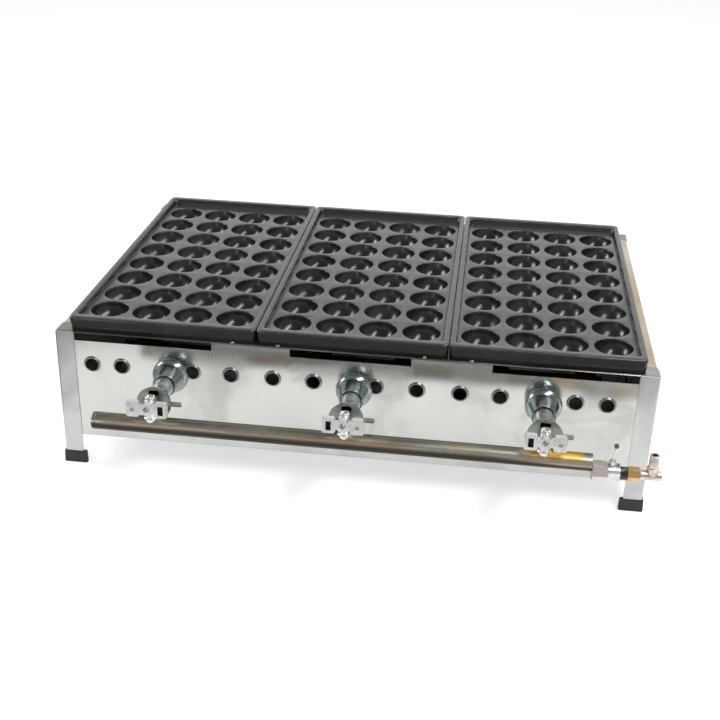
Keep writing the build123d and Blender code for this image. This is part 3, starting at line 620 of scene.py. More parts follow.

# The collars take a darker copy of the stainless sheet: painted shade on the rolled rings.
rolled_edge_painted_dark = metal(
    "rolled_stainless_edge_painted_dark", (0.36, 0.37, 0.345), (0.27, 0.275, 0.255), (0.50, 0.505, 0.48),
    rough=(0.26, 0.4), size=60)
collar = shaded(lathed("collar", [
    (-COLLAR_SUNK, COLLAR_R, 0), (2 * COLLAR_SUNK, COLLAR_R - 0.0009, 0.0006),
    (COLLAR_H, COLLAR_R - 0.0014, 0.0007), (COLLAR_H, AIR_HOLE_R, 0.0007),
    (-COLLAR_SUNK, AIR_HOLE_R - 0.00001, 0)], 64))
collars = shaded(set_out(
    "rolled_collars", collar, [(x, panel_front_y, AIR_HOLE_Z) for x in AIR_HOLES_FRONT],
    1.0, rolled_edge_painted_dark, facing=FACING["front"]))
bpy.data.objects.remove(collar)
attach(collars, "stove")


# ---- side panels ----
# The same bright sheet with a fold at the top and the bottom, set between the end panels. The
# top folds lie beside the hot plates and have turned straw-coloured.

SIDE_WALL_Y = 0.2093
SIDE_FOLD_TOP = 0.018
SIDE_TOP_Y = 0.1885
SIDE_BOTTOM_Y = 0.1985
NOTCH_PAST = 0.01
NOTCH_IN = 0.03
NOTCH_END_Y = 0.25


def side_panel(name):
    """The right-hand panel, about the middle of the casing, with its folds notched at the ends."""
    out, fold, inner = PANEL_HALF, SHEET_BEND, SHEET_BEND - SHEET
    panel = drawn(name, rounded_path([
        (out - SIDE_FOLD_TOP, PANEL_TOP, 0), (out, PANEL_TOP, fold), (out, PANEL_BOTTOM, fold),
        (out - PANEL_FOLD_BOTTOM, PANEL_BOTTOM, 0),
        (out - PANEL_FOLD_BOTTOM, PANEL_BOTTOM + SHEET, 0),
        (out - SHEET, PANEL_BOTTOM + SHEET, inner), (out - SHEET, PANEL_TOP - SHEET, inner),
        (out - SIDE_FOLD_TOP, PANEL_TOP - SHEET, 0),
    ]), -SIDE_WALL_Y, SIDE_WALL_Y, "y")
    for y_side in (-1, 1):
        for reach_y, x1, z0, z1 in (
                (SIDE_TOP_Y, out + NOTCH_PAST, PANEL_TOP - SHEET, PANEL_TOP + NOTCH_PAST),
                (SIDE_TOP_Y, out - SHEET, PANEL_TOP - NOTCH_PAST, PANEL_TOP),
                (SIDE_BOTTOM_Y, out - SHEET, PANEL_BOTTOM - NOTCH_PAST, PANEL_BOTTOM + NOTCH_PAST)):
            y0, y1 = sorted((y_side * reach_y, y_side * NOTCH_END_Y))
            cut(panel, box_between((out - NOTCH_IN, y0, z0), (x1, y1, z1)))
    return softened(panel, CUT_EDGE, 1)


heated_sheet = stainless_sheet("heated_stainless_sheet", (900, 40, 900), (0.47, 0.36, 0.225))
for side, turn in (("right", 0), ("left", math.pi)):
    panel = placed(side_panel(f"folded_side_{side}"), Matrix.Rotation(turn, 4, "Z"),
                   Matrix.Translation((0, casing_mid_y, 0)))
    stand_in(panel, f"side_panel_{side}", heated_sheet)


# ---- corner legs ----
# Bent stainless angles outside the four corners of the casing, with a satin grain up and down.
# They are spot-welded to the panels, which leaves small shallow rings.

LEG = 0.020
LEG_BOTTOM = 0.003
LEG_BEND = 0.0024
LEG_EDGE = 0.00025
CASE_HALF_W = 0.313
WELD_R = 0.0024
WELD_IN = 0.010
WELDS_Z = (0.046, 0.094, 0.140)

satin_angle = metal(
    "satin_stainless_angle", (0.56, 0.57, 0.56), (0.45, 0.46, 0.455), (0.70, 0.70, 0.69),
    rough=(0.24, 0.36), size=16, cover=0.4, grain=(1400, 1400, 25), depth=0.000006, wave=0.0006)

half_d = (casing_back_y - casing_front_y) / 2
leg_outline = rounded_path([
    (CASE_HALF_W - LEG, half_d, 0), (CASE_HALF_W, half_d, LEG_BEND), (CASE_HALF_W, half_d - LEG, 0),
    (CASE_HALF_W - LEG_SHEET, half_d - LEG, 0),
    (CASE_HALF_W - LEG_SHEET, half_d - LEG_SHEET, LEG_BEND - LEG_SHEET),
    (CASE_HALF_W - LEG, half_d - LEG_SHEET, 0),
])
for end, y_side in (("front", -1), ("rear", 1)):
    for side, x_side in (("left", -1), ("right", 1)):
        leg = drawn(f"bent_leg_{end}_{side}", [(x_side * x, y_side * y) for x, y in leg_outline],
                    LEG_BOTTOM, PANEL_TOP, "z")
        placed(softened(leg, LEG_EDGE, 1), Matrix.Translation((0, casing_mid_y, 0)))
        stand_in(leg, f"leg_{end}_{side}", satin_angle)

weld = lathed("weld", [
    (-0.02, 0, 0), (-0.02, 1.0, 0), (0.05, 1.0, 0.12), (0.05, 0.72, 0.1), (0.015, 0.6, 0.1),
    (0.015, 0, 0)], 24)
weld_xs = (WELD_IN - CASE_HALF_W, CASE_HALF_W - WELD_IN)
weld_ys = (casing_front_y + WELD_IN, casing_back_y - WELD_IN)
welds = shaded(joined("spot_welds", [
    set_out("welds", weld, [(x, y, z) for x, y in places for z in WELDS_Z], WELD_R, satin_angle,
            facing=FACING[facing])
    for facing, places in (
        ("front", [(x, casing_front_y) for x in weld_xs]),
        ("rear", [(x, casing_back_y) for x in weld_xs]),
        ("right", [(CASE_HALF_W, y) for y in weld_ys]),
        ("left", [(-CASE_HALF_W, y) for y in weld_ys]))]))
bpy.data.objects.remove(weld)
welds.data.materials.append(satin_angle)
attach(welds, "stove")


# ---- feet ----
# Moulded black rubber caps on the legs' lower ends, which follow the angles and are a little
# wider at the floor.

FOOT_TOP = 0.013
FOOT_DRAFT = 0.0005
FOOT_SIDE = 0.0035


def copied(name, node):
    """A copy of a solid's own mesh, to be worked on."""
    data = nodes[node].data.copy()
    data.name = name
    data.materials.clear()
    return link(bpy.data.objects.new(name, data))


def rubber():
    """Matt rubber with a fine moulded skin, greyed where it has been scuffed."""
    material, tree, shader = new_material("black_rubber")
    scuffs = add_group(tree, HANDLING, Size=60, Cover=0.34)
    wear = add_group(tree, EDGE_WEAR, Size=200, Amount=0.5)
    tone = mixed(tree, scuffs, (0.017, 0.018, 0.019), (0.034, 0.036, 0.037))
    wire(tree, shader, {
        "Base Color": mixed(tree, wear, tone, (0.06, 0.062, 0.063)),
        "Roughness": ranged(tree, scuffs, 0.0, 1.0, 0.48, 0.72),
        "Normal": bumped(tree, noise(tree, place_in(tree), 1500.0), 0.00006)})
    return material


black_rubber = rubber()
for end in ("front", "rear"):
    for side in ("left", "right"):
        low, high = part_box(f"foot_{end}_{side}")
        middle = (low + high) / 2
        foot = copied(f"rubber_foot_{end}_{side}", f"foot_{end}_{side}")
        for vertex in foot.data.vertices:
            if vertex.co.z > FOOT_TOP / 2:
                for i in (0, 1):
                    if min(vertex.co[i] - low[i], high[i] - vertex.co[i]) < FOOT_SIDE:
                        vertex.co[i] += math.copysign(FOOT_DRAFT, middle[i] - vertex.co[i])
        stand_in(softened(foot, 0.0011, 3), f"foot_{end}_{side}", black_rubber)


# ---- plate bridges and their screws ----
# Inverted channels of stainless sheet between the plates, and the pan-head screws that hold
# their tabs under the folds of the end panels.

BRIDGE_SCREW_R = 0.0023
BRIDGE_SCREWS_X = (-0.124, -0.076, 0.076, 0.124)
HEAD_H = 0.6
SHANK_L = 2.0
SHANK_R = 0.55
RECESS_BOTTOM = 0.28
RECESS_L, RECESS_W = 0.62, 0.12


def dressed(name, node, width, segments, *finishes):
    """A solid's own mesh with its edges rounded, in its place and its finishes."""
    piece = softened(copied(name, node), width, segments)
    stand_in(piece, node, *finishes)
    return piece


for side in ("left", "right"):
    dressed(f"folded_bridge_{side}", f"plate_bridge_{side}", 0.0005, 2, heated_sheet)


def cross_head_screw():
    """A pan head of radius 1 with a cross recess, and its shank."""
    screw = lathed("screw", [
        (-SHANK_L, 0, 0), (-SHANK_L, SHANK_R, 0.1), (0, SHANK_R, 0), (0, 1, 0.06), (0.24, 1, 0.2),
        (HEAD_H, 0.7, 0.34), (HEAD_H + 0.02, 0, 0)], 32)
    for half_x, half_y in ((RECESS_L, RECESS_W), (RECESS_W, RECESS_L)):
        cut(screw, box_between((-half_x, -half_y, RECESS_BOTTOM), (half_x, half_y, 1)))
    return softened(screw, 0.03, 1)


screw_steel = metal(
    "screw_steel", (0.50, 0.50, 0.49), (0.36, 0.35, 0.33), (0.68, 0.67, 0.65),
    rough=(0.22, 0.4), size=160, cover=0.4, grain=(700, 700, 700), depth=0.000006)
screw = cross_head_screw()
low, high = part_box("bridge_screws")
bridge_screws = set_out("cross_head_screws", screw, [
    (x, y, PANEL_TOP) for x in BRIDGE_SCREWS_X
    for y in (low.y + BRIDGE_SCREW_R, high.y - BRIDGE_SCREW_R)],
    BRIDGE_SCREW_R, screw_steel, turn=math.pi, seed=4)
stand_in(shaded(bridge_screws), "bridge_screws")


# ---- heat shield ----
# A shallow pan of galvanised sheet on the bottom folds, which keeps the heat off the table. Four
# screws from below hold it.

SHIELD_SCREW_R = 0.0038


def galvanised():
    """Zinc-dipped sheet with its large flat crystals."""
    material, tree, shader = new_material("galvanised_sheet")
    crystals = add_node(tree, "ShaderNodeTexVoronoi", {"Vector": place_in(tree), "Scale": 75.0})
    level = add_node(tree, "ShaderNodeSeparateColor", {0: crystals.outputs["Color"]}).outputs[0]
    marks = add_group(tree, HANDLING, Size=14, Cover=0.45)
    tone = mixed(tree, level, (0.34, 0.36, 0.37), (0.52, 0.54, 0.55))
    wire(tree, shader, {
        "Base Color": mixed(tree, marks, tone, (0.30, 0.29, 0.26)), "Metallic": 1,
        "Roughness": ranged(tree, level, 0.0, 1.0, 0.3, 0.5),
        "Normal": bumped(tree, level, 0.00002)})
    return material


dressed("galvanised_pan", "bottom_shield", 0.0003, 2, galvanised())
low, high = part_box("shield_screws")
shield_screws = set_out("shield_cross_heads", screw, [
    (x, y, PANEL_BOTTOM) for x in (low.x + SHIELD_SCREW_R, high.x - SHIELD_SCREW_R)
    for y in (low.y + SHIELD_SCREW_R, high.y - SHIELD_SCREW_R)],
    SHIELD_SCREW_R, screw_steel, turn=math.pi, seed=7, facing=Matrix.Rotation(math.pi, 4, "X"))
stand_in(shaded(shield_screws), "shield_screws")


# ---- burners ----
# Cast iron: a header across the front and two arms with saw cuts on top, closed behind by
# pressed caps. The arms' ends lie on a stainless angle from side to side.

dressed("folded_rest", "burner_rest", 0.0004, 2, satin_angle)


def burner_iron():
    """Grey cast iron with a sand-cast skin, browned by heat and a little rust."""
    material, tree, shader = new_material("burner_iron")
    rust = add_group(tree, HANDLING, Size=26, Cover=0.36)
    wear = add_group(tree, EDGE_WEAR, Size=150, Amount=0.6)
    tone = mixed(tree, rust, (0.075, 0.070, 0.066), (0.13, 0.070, 0.038))
    wire(tree, shader, {
        "Base Color": mixed(tree, wear, tone, (0.17, 0.15, 0.13)), "Metallic": 0.35,
        "Roughness": ranged(tree, rust, 0.0, 1.0, 0.55, 0.85),
        "Normal": bumped(tree, noise(tree, place_in(tree), 700.0, 4.0), 0.00025)})
    return material


cast_burner = burner_iron()
for side in SIDES:
    dressed(f"slotted_burner_{side}", f"burner_{side}", 0.0004, 2, cast_burner)
    dressed(f"pressed_caps_{side}", f"burner_end_caps_{side}", 0.0005, 3, cast_burner)


# ---- plates ----
# Three cast-iron trays side by side, each with 32 round cups in 4 columns of 8. The rim stands
# round a thin deck, the cups' lips are rounded, and their bowls bulge out underneath.

CUP_COLUMNS = 4
CUP_ROWS = 8
CUP_PITCH = 0.046
CUP_R = 0.02025
CUP_RISE = 0.0012
CUP_WALL = 0.0028
CUP_LIP = 0.0010
CUP_SIDE_STEPS = 12
CUP_RINGS = 12
BOWL_RINGS = 7
DECK = 0.005
FACE_DROP = 0.0075
PLATE_H = 0.014
PLATE_W = 0.1994
PLATE_L = 0.410
PLATE_DRAFT = 0.0006
PLATE_CORNER = 0.006
CORNER_STEPS = 8
RIM_SIDES = 0.006
RIM_ENDS = 0.010
RIM_DRAFT = 0.0015
RIM_ROUND = 0.0014


def side_turns():
    """The turns of the rays that meet one side of a square, corner to corner."""
    return [math.pi / 2 * (i / CUP_SIDE_STEPS - 0.5) for i in range(CUP_SIDE_STEPS)]


def cup_square():
    """One square of the deck: its face, lip and cup, and the bowl's outside underneath."""
    mesh = new_mesh()
    turns = [quarter * math.pi / 2 + turn for quarter in range(4) for turn in side_turns()]
    half = CUP_PITCH / 2

    def ring(radius, z):
        return add_loop(mesh, [(radius * math.cos(t), radius * math.sin(t), z) for t in turns])

    def square(z):
        reach = [half / max(abs(math.cos(t)), abs(math.sin(t))) for t in turns]
        return add_loop(mesh, [(r * math.cos(t), r * math.sin(t), z) for r, t in zip(reach, turns)])

    for radius, face_z, lip, steps in ((CUP_R, 0, CUP_LIP, CUP_RINGS),
                                       (CUP_R + CUP_WALL, -DECK, CUP_LIP / 2, BOWL_RINGS)):
        mouth = math.sqrt(radius**2 - (CUP_RISE - face_z) ** 2)
        rings = [square(face_z), ring(mouth + lip, face_z),
                 ring(mouth + 0.4 * lip, face_z - 0.1 * lip),
                 ring(mouth + 0.1 * lip, face_z - 0.4 * lip)]
        start = math.acos((CUP_RISE - face_z + lip) / radius)
        for step in range(steps):
            angle = start * (1 - step / steps)
            rings.append(ring(radius * math.sin(angle), CUP_RISE - radius * math.cos(angle)))
        rings.append(add_loop(mesh, [(0, 0, CUP_RISE - radius)]))
        for i, (low, high) in enumerate(zip(rings, rings[1:])):
            skin(mesh, low, high, edge=1.0 if i in (1, 2, 3) else 0.0)
    return new_piece("cup_square", mesh)


def rounded_rectangle(half_w, half_l, corner, z):
    """Points round a rectangle with round corners, from the right-hand side round to the left."""
    points = []
    for quarter in range(4):
        sign_x = 1 if quarter in (0, 3) else -1
        sign_y = 1 if quarter in (0, 1) else -1
        for step in range(CORNER_STEPS + 1):
            turn = math.pi / 2 * (quarter + step / CORNER_STEPS)
            points.append((sign_x * (half_w - corner) + corner * math.cos(turn),
                           sign_y * (half_l - corner) + corner * math.sin(turn), z))
    return points


def deck_edge(z):
    """The outline of all the squares together, with their own points on it."""
    half = CUP_PITCH / 2
    along = [half * math.tan(turn) for turn in side_turns()]
    points = []
    for quarter in range(4):
        across, count = (CUP_COLUMNS, CUP_ROWS) if quarter % 2 == 0 else (CUP_ROWS, CUP_COLUMNS)
        turn = quarter * math.pi / 2
        for cell in range(count):
            middle = (cell - (count - 1) / 2) * CUP_PITCH
            for step in along:
                x, y = across * half, middle + step
                points.append((x * math.cos(turn) - y * math.sin(turn),
                               x * math.sin(turn) + y * math.cos(turn), z))
    return points


def plate_frame(name):
    """Everything of the plate round its squares: the rim, the skirt and the deck's edges."""
    mesh = new_mesh()
    tray_w, tray_l = PLATE_W / 2 - RIM_SIDES, PLATE_L / 2 - RIM_ENDS
    top, foot = FACE_DROP, FACE_DROP - PLATE_H
    bend, soft = RIM_ROUND, 0.3 * RIM_ROUND
    inner = PLATE_CORNER - RIM_DRAFT
    rims = (
        (tray_w - RIM_DRAFT, tray_l - RIM_DRAFT, inner, 0),
        (tray_w - bend / 4, tray_l - bend / 4, inner, top - bend),
        (tray_w + soft, tray_l + soft, inner, top - soft),
        (tray_w + bend, tray_l + bend, inner, top),
        (PLATE_W / 2 - bend, PLATE_L / 2 - bend, PLATE_CORNER, top),
        (PLATE_W / 2 - soft, PLATE_L / 2 - soft, PLATE_CORNER, top - soft),
        (PLATE_W / 2, PLATE_L / 2, PLATE_CORNER, top - bend),
        (PLATE_W / 2 - PLATE_DRAFT, PLATE_L / 2 - PLATE_DRAFT, PLATE_CORNER, foot),
        (tray_w - RIM_DRAFT, tray_l - RIM_DRAFT, inner, foot),
        (tray_w - RIM_DRAFT, tray_l - RIM_DRAFT, inner, -DECK),
    )
    loops = [add_loop(mesh, rounded_rectangle(*rim)) for rim in rims]
    for i, (low, high) in enumerate(zip(loops, loops[1:])):
        skin(mesh, low, high, edge=1.0 if i in (1, 2, 4, 5) else 0.0)
    for loop, z in ((loops[0], 0), (loops[-1], -DECK)):
        edges = [mesh.edges.get((a, b)) or mesh.edges.new((a, b))
                 for ring in (loop, add_loop(mesh, deck_edge(z)))
                 for a, b in zip(ring, ring[1:] + ring[:1])]
        bmesh.ops.triangle_fill(mesh, edges=edges, use_beauty=True)
    return new_piece(name, mesh)


def build_cups_in_rows():
    """Sets a square out in rows, joins the squares to the frame and welds their edges."""
    tree, sockets, given = geometry_group("cups_in_rows", {
        "Frame": "Geometry", "Square": "Object", "Columns": "Int", "Rows": "Int", "Pitch": "Float",
        "Finish": "Material"}, "Plate")
    width, length = (
        calculated(tree, "MULTIPLY", given["Pitch"],
                   calculated(tree, "SUBTRACT", given[count], 1.0))
        for count in ("Columns", "Rows"))
    points = add_node(tree, "GeometryNodeMeshGrid", {
        "Vertices X": given["Columns"], "Vertices Y": given["Rows"],
        "Size X": width, "Size Y": length})
    square = add_node(tree, "GeometryNodeObjectInfo", {"Object": given["Square"]})
    squares = add_node(tree, "GeometryNodeInstanceOnPoints", {
        "Points": points.outputs["Mesh"], "Instance": square.outputs["Geometry"]})
    real = add_node(tree, "GeometryNodeRealizeInstances", {0: squares.outputs[0]})
    both = add_node(tree, "GeometryNodeJoinGeometry", {0: given["Frame"]})
    tree.links.new(real.outputs[0], both.inputs[0])
    weld = add_node(tree, "GeometryNodeMergeByDistance", {0: both.outputs[0], "Distance": 1e-5})
    end_group(tree, weld.outputs[0], given["Finish"])
    return tree, sockets


def seasoned_iron(face_z):
    """Cast iron with baked-on oil: near black, with a painted grey sheen on the flat tops that face
    up.
    """
    material, tree, shader = new_material("seasoned_cast_iron")
    place = place_in(tree)
    oil = add_group(tree, HANDLING, Size=22, Cover=0.42)
    wear = add_group(tree, EDGE_WEAR, Size=70, Amount=0.75)
    # Faces that point up and lie at the deck's top level are drawn lighter grey: a painted sheen.
    normal = add_node(tree, "ShaderNodeTexCoord").outputs["Normal"]
    flat = ranged(tree, axes_of(tree, normal)["Z"], 0.9, 0.99)
    high = ranged(tree, axes_of(tree, place)["Z"], face_z - 0.0006, face_z - 0.0002)
    tone = mixed(tree, calculated(tree, "MULTIPLY", flat, high),
                 mixed(tree, oil, (0.013, 0.0127, 0.014), (0.019, 0.0165, 0.015)),
                 mixed(tree, oil, (0.052, 0.0515, 0.053), (0.060, 0.056, 0.053)))
    pitted = bumped(tree, noise(tree, place, 130.0), 0.00022)
    wire(tree, shader, {
        "Base Color": mixed(tree, wear, tone, (0.068, 0.066, 0.065)),
        "Roughness": ranged(tree, oil, 0.0, 1.0, 0.20, 0.34), "Specular IOR Level": 0.65,
        "Normal": bumped(tree, noise(tree, place, 620.0, 3.0), 0.00007, pitted)})
    return material


cast_plate = seasoned_iron(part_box("plate_left")[1].z - FACE_DROP)
square = cup_square()
cups_in_rows = build_cups_in_rows()
for side in SIDES:
    low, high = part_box(f"plate_{side}")
    plate = run_group(plate_frame(f"cast_plate_{side}"), *cups_in_rows, {
        "Square": square, "Columns": CUP_COLUMNS, "Rows": CUP_ROWS, "Pitch": CUP_PITCH,
        "Finish": cast_plate})
    placed(plate, Matrix.Translation((
        (low.x + high.x) / 2, (low.y + high.y) / 2, high.z - FACE_DROP)))
    plate.data.shade_smooth()
    plate.data.set_sharp_from_angle(angle=CORNER)
    stand_in(plate, f"plate_{side}")
bpy.data.objects.remove(square)


# ---- gas and air mixers ----
# Zinc-plated castings, turned outside: a round bell on the panel, a waisted neck that flares to
# the inlet face, and three air ports in that face round the gas nozzle.

SPIGOT_R = 0.0100
SPIGOT_L = 0.0300
SPIGOT_BORE_R = 0.0070
BELL_ROOT = (0.0024, 0.0108)
BELL_CREST = (0.0092, 0.0190)
BELL_SHOULDER = (0.0160, 0.0160)
BELL_FLANK = (0.0250, 0.0142)
BELL_MOUTH = (0.0340, 0.0124)
BELL_STEPS = 20
MOUTH_FLOOR_IN = 0.0075
MOUTH_LIP = 0.0005
MIXER_NECK = (
    (0.0340, 0.0117, 0.0003), (0.0260, 0.0117, 0), (0.0260, 0.0102, 0),
    (0.0420, 0.0102, 0.0040), (0.0520, 0.0094, 0.0060), (0.0620, 0.0115, 0.0030),
    (0.0660, 0.0160, 0.0010), (0.0700, 0.0160, 0.0006), (0.0700, 0, 0), (0.0670, 0, 0),
    (0.0670, 0.0145, 0.0008), (0.0620, 0.0095, 0.0030), (0.0520, SPIGOT_BORE_R, 0.0040),
)
MIXER_FACE = 0.070
PORT_R = 0.0108
PORT_W = 0.0100
PORT_H = 0.0055
PORT_ROUND = 0.0014
PORT_SPARE = 0.0005
PORT_REACH = 0.0035
PORTS = 3
NOZZLE_R = 0.0040


def arc_through(start, middle, end, steps):
    """Points of the circle through three points, after the first and before the last."""
    a, b, c = (Vector(point) for point in (start, middle, end))
    turn = 2 * ((b - a).x * (c - a).y - (b - a).y * (c - a).x)
    first, second = (b - a).length_squared, (c - a).length_squared
    centre = a + Vector(((c - a).y * first - (b - a).y * second,
                         (b - a).x * second - (c - a).x * first)) / turn
    angles = [math.atan2((point - centre).y, (point - centre).x) for point in (a, b, c)]
    halfway, sweep = [(angle - angles[0]) % (2 * math.pi) for angle in angles[1:]]
    if halfway > sweep:
        sweep -= 2 * math.pi
    radius = (a - centre).length
    return [(centre.x + radius * math.cos(t), centre.y + radius * math.sin(t), 0) for t in (
        angles[0] + sweep * step / steps for step in range(1, steps))]


def forward_at(x):
    """From a shape about z to one that comes forward out of the front panel at a burner."""
    return Matrix.Translation((x, panel_front_y, FLAME_Z)) @ FACING["front"]


def port_cutters(depth, reach, extra=0.0):
    """Rounded windows round the axis, the first at the top."""
    half_w, half_h = PORT_W / 2 + extra, PORT_H / 2 + extra
    outline = rounded_path([
        (-half_w, PORT_R - half_h, PORT_ROUND), (half_w, PORT_R - half_h, PORT_ROUND),
        (half_w, PORT_R + half_h, PORT_ROUND), (-half_w, PORT_R + half_h, PORT_ROUND)])
    return joined("ports", [
        placed(drawn("port", outline, depth - reach, depth + reach, "z"),
               Matrix.Rotation(2 * math.pi * turn / PORTS, 4, "Z")) for turn in range(PORTS)])


zinc_plate = metal(
    "zinc_plated_casting", (0.42, 0.49, 0.49), (0.32, 0.37, 0.36), (0.54, 0.59, 0.58),
    rough=(0.13, 0.24), size=34, grain=(500, 90, 500), depth=0.000012, wave=0.0004)
# The neck's finish is a lighter copy of the zinc plating: painted light where the neck shows
# bright.
zinc_neck_painted_light = metal(
    "zinc_plated_neck_painted_light", (0.74, 0.79, 0.78), (0.60, 0.64, 0.63), (0.80, 0.83, 0.82),
    rough=(0.24, 0.36), size=60, grain=(500, 90, 500), depth=0.000012)
mixer_outline = rounded_path([
    (-SPIGOT_L, SPIGOT_BORE_R, 0), (-SPIGOT_L, SPIGOT_R, 0.0006), (0, SPIGOT_R, 0),
    (0, BELL_ROOT[1], 0), (*BELL_ROOT, 0.0004),
    *arc_through(BELL_ROOT, BELL_CREST, BELL_SHOULDER, BELL_STEPS), (*BELL_SHOULDER, 0),
    (*BELL_FLANK, 0.006), (*BELL_MOUTH, 0.0003), *MIXER_NECK], steps=5)
for side, x in BURNERS.items():
    mixer = cut(turned(f"mixer_bell_{side}", mixer_outline, 96),
                port_cutters(MIXER_FACE, PORT_REACH, extra=PORT_SPARE))
    placed(shaded(mixer, sharp=FINE_CORNER), forward_at(x))
    stand_in(mixer, f"mixer_{side}", zinc_plate, zinc_neck_painted_light)
    # The neck's faces inside the bell's mouth take the lighter copy, a painted light.
    for face in mixer.data.polygons:
        off_axis = math.hypot(face.center.x - x, face.center.z - FLAME_Z)
        past_floor = panel_front_y - face.center.y > BELL_MOUTH[0] - MOUTH_FLOOR_IN
        face.material_index = int(past_floor and off_axis < BELL_MOUTH[1] - MOUTH_LIP)


# ---- air shutters ----
# Thin stamped steel discs with the same three ports and a finger tab, loose on the nozzle. The
# rim is curled forward a little.

SHUTTER_BACK = 0.0703
SHUTTER_R = 0.0175
SHUTTER_SHEET = 0.0008
SHUTTER_CURL = 0.0018
SHUTTER_PLAY = 0.00025
TAB_START = SHUTTER_R - 0.0006
TAB_END = 0.0280
TAB_W = 0.0055
TAB_ROUND = 0.0016

shutter_steel = metal(
    "stamped_steel", (0.33, 0.36, 0.33), (0.20, 0.21, 0.19), (0.56, 0.58, 0.54),
    rough=(0.24, 0.4), size=60, cover=0.4, grain=(600, 600, 600), depth=0.000006)

for side, x in BURNERS.items():
    back, front = SHUTTER_BACK, SHUTTER_BACK + SHUTTER_SHEET
    curl = SHUTTER_BACK + SHUTTER_CURL
    bore = NOZZLE_R + SHUTTER_PLAY
    disc = cut(lathed("disc", [
        (back, bore, 0), (back, SHUTTER_R, 0.0008), (curl, SHUTTER_R, 0.0002),
        (curl, SHUTTER_R - SHUTTER_SHEET, 0.0002), (front, SHUTTER_R - SHUTTER_SHEET, 0.0004),
        (front, bore, 0)], 72), port_cutters(back, CUT_REACH))
    tab = drawn("tab", rounded_path([
        (TAB_START, -TAB_W / 2, 0), (TAB_END, -TAB_W / 2, TAB_ROUND),
        (TAB_END, TAB_W / 2, TAB_ROUND), (TAB_START, TAB_W / 2, 0)]), back, front, "z")
    shutter = softened(joined(f"stamped_shutter_{side}", [disc, tab]), 0.00015, 1)
    stand_in(placed(shutter, forward_at(x)), f"air_shutter_{side}", shutter_steel)


# ---- gas nozzles ----
# Brass jets with a hexagon, screwed into the cocks. Their tips sit in the mixers' inlet faces,
# where the gas draws in its air.

NOZZLE_TIP = 0.066
NOZZLE_HEX_BACK = 0.0722
NOZZLE_HEX_FLATS = 0.009
NOZZLE_BORE_R = 0.0012
JET_BOSS_BACK = 0.0752
CHAMFER_R = 0.48
CHAMFER_SLOPE = math.radians(30)
JOIN_IN = 0.0005
HEXAGON_SUNK = 0.0003


def chamfered_hexagon(name, flats, low, high):
    """A hexagon bar about z with the corners turned off at both ends."""
    corner = flats / math.sqrt(3)
    outline = [(corner * math.cos(math.pi / 3 * i), corner * math.sin(math.pi / 3 * i))
               for i in range(6)]
    slope = (corner - CHAMFER_R * flats) * math.tan(CHAMFER_SLOPE)
    barrel = turned("barrel", [
        (low, 0), (low, CHAMFER_R * flats), (low + slope, corner), (high - slope, corner),
        (high, CHAMFER_R * flats), (high, 0)], 72)
    hexagon = cut(drawn(name, outline, low, high, "z"), barrel, "INTERSECT")
    return softened(hexagon, 0.00012, 1)


brass = metal(
    "machined_brass", (0.74, 0.48, 0.20), (0.52, 0.35, 0.15), (0.88, 0.74, 0.42),
    rough=(0.32, 0.48), size=110, depth=0.000005)
for side, x in BURNERS.items():
    jet = lathed("jet", [
        (NOZZLE_TIP, NOZZLE_BORE_R, 0), (NOZZLE_TIP, NOZZLE_R, 0.0012),
        (NOZZLE_HEX_BACK + JOIN_IN, NOZZLE_R, 0), (NOZZLE_HEX_BACK + JOIN_IN, NOZZLE_BORE_R, 0),
    ], 48)
    hexagon = chamfered_hexagon("hexagon", NOZZLE_HEX_FLATS, NOZZLE_HEX_BACK,
                                JET_BOSS_BACK + HEXAGON_SUNK)
    nozzle = shaded(placed(joined(f"brass_jet_{side}", [jet, hexagon]), forward_at(x)))
    stand_in(nozzle, f"gas_nozzle_{side}", brass)


# ---- gas cocks ----
# Chromed brass: an upright stem on the pipe with a dark hollow in its top, a barrel across it
# for the turning plug, and below that a boss for the jet. A screw holds the cast butterfly
# handle, which has a slotted tab and a dimpled one, on the plug.

MANIFOLD_DEPTH = 0.083
MANIFOLD_Z = 0.1021
MANIFOLD_R = 0.00865
COCK_Z = 0.1264
COCK_STEM_R, COCK_WAIST_R, COCK_TOP_R = 0.0070, 0.0060, 0.0050
COCK_TOP = 0.1338
COCK_HOLLOW_R = 0.0037
COCK_HOLLOW = 0.0016
COCK_BARREL_R = 0.0062
COCK_BACK, COCK_FRONT = 0.0774, 0.0917
COCK_GROOVE = 0.0004
PLUG_SEAT_R = 0.0044
PLUG_SEAT = 0.006
JET_BOSS_R = 0.0060
HANDLE_FRONT = 0.0982
HANDLE_SLOT_W = 0.0052
HANDLE_SLOT_H = 0.0098
HANDLE_SLOT = 0.0045
HANDLE_TAB_X = 0.0140
SLOT_LIP = 0.0002
DIMPLE_R = 0.0024
HANDLE_SCREW_R = 0.0032
manifold_y = panel_front_y - MANIFOLD_DEPTH

cock_chrome = metal(
    "chromed_brass", (0.80, 0.80, 0.785), (0.62, 0.615, 0.59), (0.92, 0.91, 0.88),
    rough=(0.2, 0.32), size=90, cover=0.42, grain=(400, 400, 400), depth=0.000003)


def dulled(name, roughness, size, colour, marked):
    """A plain dark finish with cloudy marks."""
    material, tree, shader = new_material(name)
    marks = add_group(tree, HANDLING, Size=size, Cover=0.5)
    wire(tree, shader, {"Base Color": mixed(tree, marks, colour, marked), "Roughness": roughness})
    return material


# A near-black finish for the inside of the handles' slots: painted shade in the recess.
slot_painted_shade = dulled("slot_painted_shade", 0.7, 400, (0.012, 0.012, 0.012), (0.035, 0.033, 0.03))

